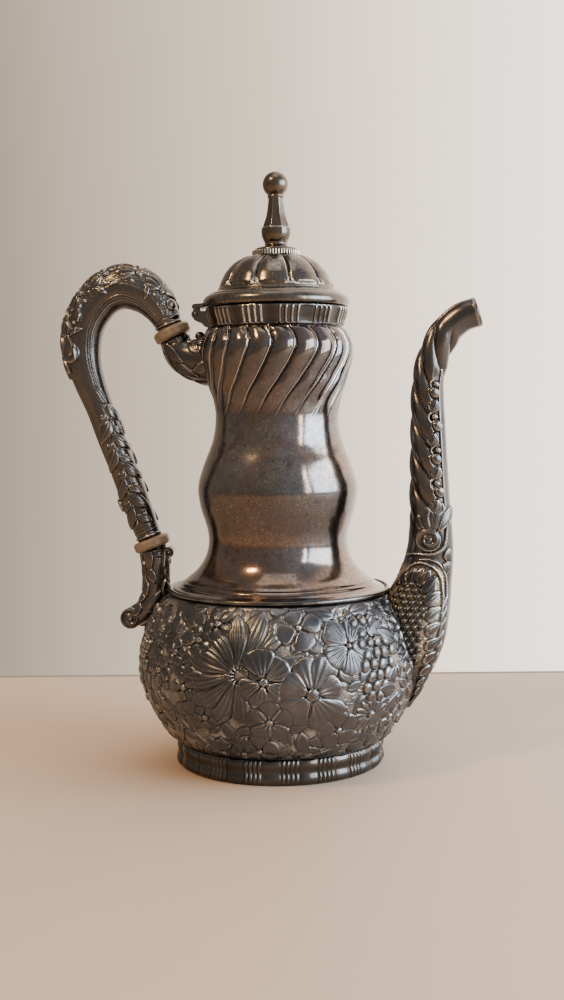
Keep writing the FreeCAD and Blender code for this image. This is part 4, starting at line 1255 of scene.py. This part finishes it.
def grip_relief(angle, path):
    """Crest, shells and fillets on the arch, a vine down the straight part and rings at both ends."""
    art = path_relief(angle, path)
    gap = np.degrees(np.abs(wrap(angle)))
    length = path.length[:, None]
    radius = art.radius[:, None]
    end = path.length[-1]
    strip = step(gap, 84, 79) * step(length, 2.5, 4.5) * step(length, GRIP_ARC_END + 6, GRIP_ARC_END)
    hollow = step(gap, 84, 92) * step(gap, 114, 106) * step(length, 4, 8)
    art.lift = -0.9 * strip - 0.7 * hollow
    art.ground = strip.copy()
    grip_crest(art)
    for sign in (-1, 1):
        grip_shells(art, sign)
    lines = np.zeros(angle.shape)
    runs = ((81, 4, GRIP_ARC_END + 4), (112, 5, end - 8), (120, 6, end - 8), (127, 6, 98))
    for degrees, first, last in runs:
        run = step(length, first, first + 3) * step(length, last, last - 3)
        lines += fillet_lines(gap, radius, degrees, 0.3, 0.5) * run
    for degrees in (34, 48):
        run = step(length, GRIP_ARC_END + 4, GRIP_ARC_END + 9)
        lines += fillet_lines(gap, radius, degrees, 0.3, 0.5) * run
    lines *= step(length, end - 5, end - 7)
    art.lift += lines
    for sign in (-1, 1):
        grip_vine(art, sign)
    for lean in (50, 0, -50):
        petal(art, (0, 133), 90 + lean, 6.5, 2.2, start=-1.5, tip=0.9, base=1.0, crown=1.0, vein=0.4)
    for sign in (-1, 1):
        berry(art, (sign * 40, 7.5), 2.3)
    for place, height in ((1.3, 0.7), (3.4, 0.4), (end - 1.3, 0.7), (end - 3.6, 0.35), (end - 5.2, 0.3)):
        art.lift = np.maximum(art.lift, height * np.exp(-((length - place) / 0.55) ** 2) - 0.05)
    stipple = soften(rng.uniform(-1, 1, angle.shape), 1) * art.ground
    ends = step(length, 0.0, 0.8) * step(end - length, 0.0, 0.8)
    return (art.lift + 0.25 * stipple) * ends, worn_tone(art.lift)


def build_grip():
    path = Path(GRIP_STATIONS, GRIP_ROWS)
    path.set_end(0, (-UPPER_INSULATOR[2], -UPPER_INSULATOR[3]))
    path.set_end(-1, (LOWER_INSULATOR[2], LOWER_INSULATOR[3]))
    angle = full_turn(GRIP_ROWS, GRIP_COLUMNS)
    lift, tone = grip_relief(angle, path)
    tube_with_ends("grip_chased", path.section(angle, lift), tone, ["handle_grip"], CAST)


def socket_relief(angle, path):
    """Long loose leaves along the tube, with a ring next to the insulator."""
    art = path_relief(angle, path)
    length = path.length[:, None]
    art.lift -= 0.3
    end = path.length[-1]
    for row in range(int(end // 6.5) + 1):
        for index in range(5):
            degrees = index * 72 + 36 * (row % 2) + rng.uniform(-12, 12)
            lean = 270 + rng.uniform(-28, 28)
            petal(art, (degrees, end - 1 - row * 6.5), lean, 11.0, 2.3, start=-1.5, tip=1.1, blunt=0.8,
                  base=0.4, crown=0.95, ribs=2.5, rib=0.15, vein=0.5, bend=rng.uniform(-1.5, 1.5))
    for place, height in ((1.2, 0.6), (3.2, 0.3)):
        art.lift = np.maximum(art.lift, height * np.exp(-((length - place) / 0.5) ** 2) - 0.05)
    return art.lift * step(length, 0.0, 0.8), worn_tone(art.lift)


def keep_outside(vertices, profile, depth):
    """Moves points that lie deeper than depth inside a turned profile out to that depth."""
    line = np.array(profile)
    least = np.interp(vertices[..., 2], line[:, 1], line[:, 0], left=0, right=0) - depth
    reach = np.hypot(vertices[..., 0], vertices[..., 1])
    push = np.where(reach < least, least / np.maximum(reach, 1e-6), 1.0)
    vertices[..., :2] *= push[..., None]
    return vertices


def build_socket(name, node, stations, insulator, profile):
    """A leaved tube from an insulator to the wall whose outside line is the profile."""
    path = Path(stations, SOCKET_ROWS)
    path.set_end(0, (insulator[2], insulator[3]))
    angle = full_turn(SOCKET_ROWS, SOCKET_COLUMNS)
    lift, tone = socket_relief(angle, path)
    vertices = keep_outside(path.section(angle, lift), profile, 0.5)
    tube_with_ends(name, vertices, tone, [node], CAST)


def turned_about(name, centre, direction, profile, columns, nodes, finish, relief=None):
    """Solid turned about any axis from (radius, distance along the axis) rows that start and end near 0."""
    axis = np.array(Vector(direction).normalized())
    side = np.cross(axis, (0, 1, 0) if abs(axis[1]) < 0.9 else (1, 0, 0))
    side /= np.linalg.norm(side)
    other = np.cross(axis, side)
    line = np.array(profile, float)
    angle = full_turn(len(line), columns)
    radius = np.repeat(line[:, :1], columns, axis=1)
    along = np.repeat(line[:, 1:], columns, axis=1)
    tone = np.full(angle.shape, PLAIN_TONE)
    if relief:
        lift, tone = relief(angle, line)
        normal = outward(line)
        radius = radius + normal[:, :1] * lift
        along = along + normal[:, 1:] * lift
    vertices = (np.array(centre, float) + along[..., None] * axis
                + (radius * np.cos(angle))[..., None] * side + (radius * np.sin(angle))[..., None] * other)
    tube_with_ends(name, vertices, tone, nodes, finish)


def rounded_disc(radius, half, corner, face_rows=2):
    """Profile of a disc with rounded rims, from the middle of the low face to the middle of the high one."""
    turn = np.linspace(0, math.pi / 2, 9)
    low = np.stack([radius - corner + corner * np.sin(turn), -half + corner - corner * np.cos(turn)], axis=1)
    high = np.stack([low[::-1, 0], -low[::-1, 1]], axis=1)
    inner = np.linspace(0.05, radius - corner - 0.1, face_rows)
    face_low = np.stack([inner, np.full(face_rows, -half)], axis=1)
    face_high = np.stack([inner[::-1], np.full(face_rows, half)], axis=1)
    return np.vstack([face_low, low, high, face_high])


def insulator_relief(angle, line):
    """A slight waver left by the lathe, with one shallow scored ring."""
    waver = 0.05 * np.sin(angle * 3 + 1) + 0.03 * np.sin(angle * 7)
    ring = 0.1 * np.exp(-((line[:, 1:] - 0.7) / 0.3) ** 2)
    return waver - ring, np.full(angle.shape, PLAIN_TONE)


def build_insulators():
    for part, (x, z, dx, dz, thick) in (("upper", UPPER_INSULATOR), ("lower", LOWER_INSULATOR)):
        profile = rounded_disc(INSULATOR_RADIUS, thick / 2, 1.7)
        turned_about(part + "_insulator_turned", (x, 0, z), (dx, 0, dz), profile, 160,
                     [part + "_insulator"], BONE, insulator_relief)


def volute_disc(name, x, z, radius, half, node, coils):
    """A short drum across the pot whose two faces are carved as a spiral."""
    profile = rounded_disc(radius, half, 0.9, 26)

    def relief(angle, line):
        side = np.sign(line[:, 1:])
        arm = coils * line[:, :1] / radius - side * angle / TURN
        ridge = 0.5 + 0.5 * np.cos(TURN * arm)
        face = step(np.abs(line[:, 1:]), half - 0.9, half - 0.1)
        eye = np.clip(1 - (line[:, :1] / (0.3 * radius)) ** 2, 0, 1) ** 0.5
        lift = face * (np.maximum(ridge**0.8 * 0.7, eye * 0.9) - 0.6)
        return lift, np.clip(0.42 + lift * 0.5 + 0.1, 0, 1)

    turned_about(name, (x, 0, z), (0, 1, 0), profile, 120, [node], CAST, relief)


def ball_profile(radius):
    turn = np.linspace(0.03, math.pi - 0.03, 26)
    return np.stack([radius * np.sin(turn), -radius * np.cos(turn)], axis=1)


def build_handle():
    build_grip()
    build_insulators()
    build_socket("upper_socket_leaved", "upper_socket", UPPER_SOCKET_STATIONS, UPPER_INSULATOR, NECK_OUTER)
    build_socket("lower_socket_leaved", "lower_socket", LOWER_SOCKET_STATIONS, LOWER_INSULATOR, BOWL_OUTER)
    x, z, radius = UPPER_SOCKET_BALL
    turned_about("upper_socket_ball", (x, 0, z), (0, 0, 1), ball_profile(radius), 60, ["upper_socket"], CAST)
    x, z, radius, half = SOCKET_SCROLL
    volute_disc("lower_socket_volute", x, z, radius, half, "lower_socket", 1.8)
    x, z, radius, half = SOCKET_CURL
    volute_disc("lower_socket_curl", x, z, radius, half, "lower_socket", 1.2)


# ---------------------------------------------------------------- hinge, pins and hidden fittings


def dress_cad_node(name, finish, bevel=None):
    """A copy of a CAD node's mesh in the given finish, with its edges softened by bevel millimetres."""
    source = frame["nodes"][name]
    mesh = source.data.copy()
    piece = bpy.data.objects.new(name + "_dressed", mesh)
    bpy.context.scene.collection.objects.link(piece)
    slot, material = finish
    mesh.materials.clear()
    mesh.materials.append(material)
    tool = bmesh.new()
    tool.from_mesh(mesh)
    bmesh.ops.remove_doubles(tool, verts=tool.verts, dist=2e-6)
    if bevel:
        edges = [e for e in tool.edges if len(e.link_faces) == 2 and e.calc_face_angle(0) > math.radians(40)]
        bmesh.ops.bevel(tool, geom=edges, offset=bevel * MM, segments=3, profile=0.6, affect="EDGES",
                        clamp_overlap=True)
    tool.to_mesh(mesh)
    tool.free()
    mesh.polygons.foreach_set("use_smooth", np.ones(len(mesh.polygons), bool))
    paint(piece, "tone", np.full(len(mesh.vertices), PLAIN_TONE))
    mesh.set_sharp_from_angle(angle=math.radians(35))
    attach(piece, source["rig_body"])
    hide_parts(name)


def pin_profile(radius, half, dome):
    """A pin with domed ends, along its own axis."""
    turn = np.linspace(0.05, math.pi / 2, 8)
    cap = np.stack([radius * np.sin(turn), -half - dome * np.cos(turn)], axis=1)
    return np.vstack([cap, np.stack([cap[::-1, 0], -cap[::-1, 1]], axis=1)])


def build_pins():
    low, high = node_box("hinge_pin")
    middle = (low + high) / 2
    half = (high[1] - low[1]) / 2
    turned_about("hinge_pin_domed", middle, (0, 1, 0), pin_profile((high[2] - low[2]) / 2, half, 0.5), 48,
                 ["hinge_pin"], CAST)
    half = node_box("insulator_pins")[1][1]
    for part, (x, z, dx, dz, thick) in (("upper", UPPER_INSULATOR), ("lower", LOWER_INSULATOR)):
        reach = np.hypot(dx, dz)
        for side, label in ((-1, "near"), (1, "far")):
            away = side * (thick / 2 + CROSS_PIN_OFFSET) / reach
            turned_about(f"{part}_insulator_pin_{label}", (x + dx * away, 0, z + dz * away), (0, 1, 0),
                         pin_profile(0.7, half - 0.1, 0.3), 32, ["insulator_pins"], CAST)


def build_hinge_leaf_drop():
    """The scalloped leaf that hangs below the hinge onto the neck's shoulder."""
    rows, columns = 60, 60
    down = np.linspace(0, 1, rows)[:, None]
    across = np.linspace(-1, 1, columns)[None, :]
    half = 5.2 * np.sin(math.pi * (0.28 + 0.72 * down) ** 0.9) ** 0.7 * (1 + 0.08 * np.cos(down * 19)) + 0.1
    y = across * half
    z = np.repeat(190.6 - 9.0 * down, columns, axis=1)
    line = np.array(NECK_OUTER)
    skin = np.interp(z, line[:, 1], line[:, 0]) + 0.35
    crown = 1.3 * np.sqrt(np.clip(1 - across**2, 0, 1)) * (1 - 0.5 * down)
    ribs = np.repeat(0.16 * np.cos(across * 9) - 0.3 * np.exp(-((across / 0.12) ** 2)), rows, axis=0)
    front_radius = skin + crown + ribs * (1 - down) + 0.35
    back_radius = skin - 0.8
    turn = math.pi - y / skin
    front = np.stack([front_radius * np.cos(turn), front_radius * np.sin(turn), z], axis=-1)
    back = np.stack([back_radius * np.cos(turn), back_radius * np.sin(turn), z], axis=-1)
    loop = np.concatenate([front, back[:, ::-1]], axis=1)
    tone = np.concatenate([np.clip(0.5 + ribs, 0, 1), np.full(ribs.shape, 0.4)], axis=1)
    tube_with_ends("hinge_leaf_drop", loop[::-1], tone[::-1], [], CAST)


def build_fittings():
    build_pins()
    build_hinge_leaf_drop()
    dress_cad_node("hinge_body_leaf", CAST, 0.35)
    dress_cad_node("hinge_lid_leaf", CAST, 0.3)
    dress_cad_node("base_plate", TARNISHED)
    dress_cad_node("lid_bezel", LID_METAL)
    dress_cad_node("finial_stud", WORN)
    dress_cad_node("finial_washer", WORN, 0.15)
    dress_cad_node("finial_nut", WORN, 0.25)


# ---------------------------------------------------------------- stage, camera, light

CAMERA_PLACE = (0.0784, -0.5575, 0.1559)
CAMERA_TURN = 8.0
CAMERA_PITCH = 4.3
CAMERA_ROLL = 0.5
LENS = 46.8
SENSOR = 36.0
TABLE_BACK = 0.172
# Depth of the thin dark strip behind the table, a painted shadow line where the table meets the wall.
TABLE_SHADOW_STRIP = 0.005
# Table colour with painted light: darker on the left and brighter on the right, the window's side.
TABLE_COLOUR_AND_SIDE_LIGHT = [(0.455, (0.46, 0.335, 0.24)), (0.5, (0.50, 0.375, 0.285)), (0.545, (0.60, 0.49, 0.405))]
# Colours of that painted shadow strip, a little darker on the left.
BACK_SHADOW_COLOURS = [(0.455, (0.20, 0.165, 0.14)), (0.545, (0.24, 0.20, 0.17))]
WALL_COLOURS = [(0.0, (0.44, 0.33, 0.24)), (0.22, (0.58, 0.46, 0.35)), (0.38, (1.3, 1.08, 0.85)),
                (0.56, (2.8, 2.38, 2.05)), (1.0, (3.3, 2.85, 2.5))]
ROOM_COLOURS = [(0.0, (0.44, 0.37, 0.30)), (0.45, (0.54, 0.455, 0.37)), (1.0, (0.74, 0.77, 0.83))]


def build_camera():
    camera = bpy.data.cameras.new("camera")
    camera.lens = LENS
    camera.sensor_width = SENSOR
    camera.shift_x = 0.0045
    camera.clip_start = 0.01
    holder = bpy.data.objects.new("camera", camera)
    bpy.context.scene.collection.objects.link(holder)
    holder.location = CAMERA_PLACE
    holder.rotation_mode = "XYZ"
    holder.rotation_euler = [math.radians(angle) for angle in (90 - CAMERA_PITCH, CAMERA_ROLL, CAMERA_TURN)]
    bpy.context.scene.camera = holder


def build_table():
    """A pale table whose back edge lies a little behind the pot, painted darker on the left and brighter on the
    right as painted light, with a thin dark strip at the wall as a painted shadow line.
    """
    build_slab("table", -3.0, TABLE_BACK, TABLE_COLOUR_AND_SIDE_LIGHT)
    # A thin dark strip behind the table's back edge: a painted shadow line where the table meets the wall.
    build_slab("table_back_shadow", TABLE_BACK, TABLE_BACK + TABLE_SHADOW_STRIP, BACK_SHADOW_COLOURS)


def build_slab(name, near, far, colours):
    """A flat slab from near to far along the camera's heading, with its top at the foot's rest plane."""
    turn = math.radians(CAMERA_TURN)
    ahead = Vector((-math.sin(turn), math.cos(turn), 0))
    side = Vector((math.cos(turn), math.sin(turn), 0))
    corners = []
    for depth in (0.0, -0.03):
        for along, across in ((far, -2.5), (far, 2.5), (near, 2.5), (near, -2.5)):
            corners.append(ahead * along + side * across + Vector((0, 0, depth)))
    faces = [(3, 2, 1, 0), (4, 5, 6, 7), (0, 1, 5, 4), (1, 2, 6, 5), (2, 3, 7, 6), (3, 0, 4, 7)]
    mesh = bpy.data.meshes.new(name)
    mesh.from_pydata([tuple(c) for c in corners], [], faces)
    slab = bpy.data.objects.new(name, mesh)
    bpy.context.scene.collection.objects.link(slab)
    paint(slab, "across", np.array([0, 1, 1, 0, 0, 1, 1, 0]))
    n = Nodes(name + " paint")
    # The colour runs across the slab from left to right: painted light on the table, brighter to the right, and
    # painted shade on the strip behind it.
    base = n.ramp(n.attribute("across"), colours)
    base = n.mix(n.times(n.noise(3.0, 4.0, 0.5), 0.08), base, colours[0][1])
    mesh.materials.append(n.finish(base, 0.75, 0.0))


def build_world():
    """A pale wall behind the pot and a dimmer room on the viewer's side, both brighter to the right."""
    world = bpy.data.worlds.new("room")
    bpy.context.scene.world = world
    world.use_nodes = True
    tree = world.node_tree
    tree.nodes.clear()
    place = tree.nodes.new("ShaderNodeTexCoord")
    split = tree.nodes.new("ShaderNodeSeparateXYZ")
    tree.links.new(place.outputs["Generated"], split.inputs[0])

    def spread(output, low, high, stops):
        span = tree.nodes.new("ShaderNodeMapRange")
        span.inputs["From Min"].default_value = low
        span.inputs["From Max"].default_value = high
        tree.links.new(split.outputs[output], span.inputs["Value"])
        ramp = tree.nodes.new("ShaderNodeValToRGB")
        while len(ramp.color_ramp.elements) < len(stops):
            ramp.color_ramp.elements.new(0.5)
        for element, (at, colour) in zip(ramp.color_ramp.elements, stops):
            element.position = at
            element.color = (*colour, 1)
        tree.links.new(span.outputs[0], ramp.inputs[0])
        return ramp.outputs[0]

    wall = spread("X", -0.6, 0.6, WALL_COLOURS)
    behind = spread("Y", -0.1, 0.45, [(0.0, (0, 0, 0)), (1.0, (1, 1, 1))])
    mix = tree.nodes.new("ShaderNodeMix")
    mix.data_type = "RGBA"
    tree.links.new(behind, mix.inputs["Factor"])
    tree.links.new(spread("X", -0.7, 0.7, ROOM_COLOURS), mix.inputs[6])
    tree.links.new(wall, mix.inputs[7])
    background = tree.nodes.new("ShaderNodeBackground")
    tree.links.new(mix.outputs[2], background.inputs["Color"])
    background.inputs["Strength"].default_value = 1.0
    output = tree.nodes.new("ShaderNodeOutputWorld")
    tree.links.new(background.outputs[0], output.inputs[0])


def area_light(name, azimuth, elevation, distance, size, power, colour, target=(0, 0, 0.12)):
    """A rectangular light that faces the pot. Azimuth runs to the right of the camera's direction."""
    data = bpy.data.lights.new(name, "AREA")
    data.shape = "RECTANGLE"
    data.size, data.size_y = size
    data.energy = power
    data.color = colour
    lamp = bpy.data.objects.new(name, data)
    bpy.context.scene.collection.objects.link(lamp)
    a = math.radians(azimuth + CAMERA_TURN)
    e = math.radians(elevation)
    away = Vector((math.sin(a) * math.cos(e), -math.cos(a) * math.cos(e), math.sin(e)))
    lamp.location = Vector(target) + away * distance
    lamp.rotation_mode = "QUATERNION"
    lamp.rotation_quaternion = away.to_track_quat("Z", "Y")


def build_lights():
    area_light("window side pane", 43, 16, 1.3, (0.09, 0.72), 4.5, (1.0, 0.86, 0.72))
    area_light("window", 72, 16, 1.3, (0.95, 0.72), 31, (0.72, 0.88, 1.0))
    area_light("lamp", -52, 48, 1.2, (0.2, 0.1), 8, (1.0, 0.62, 0.28))
    area_light("ceiling", 0, 80, 1.8, (1.0, 1.0), 5, (1.0, 0.94, 0.86))


build_camera()
build_table()
build_world()
build_lights()
build_foot()
build_bowl()
build_neck()
build_bead()
build_band()
build_lid()
build_spout()
build_handle()
build_fittings()
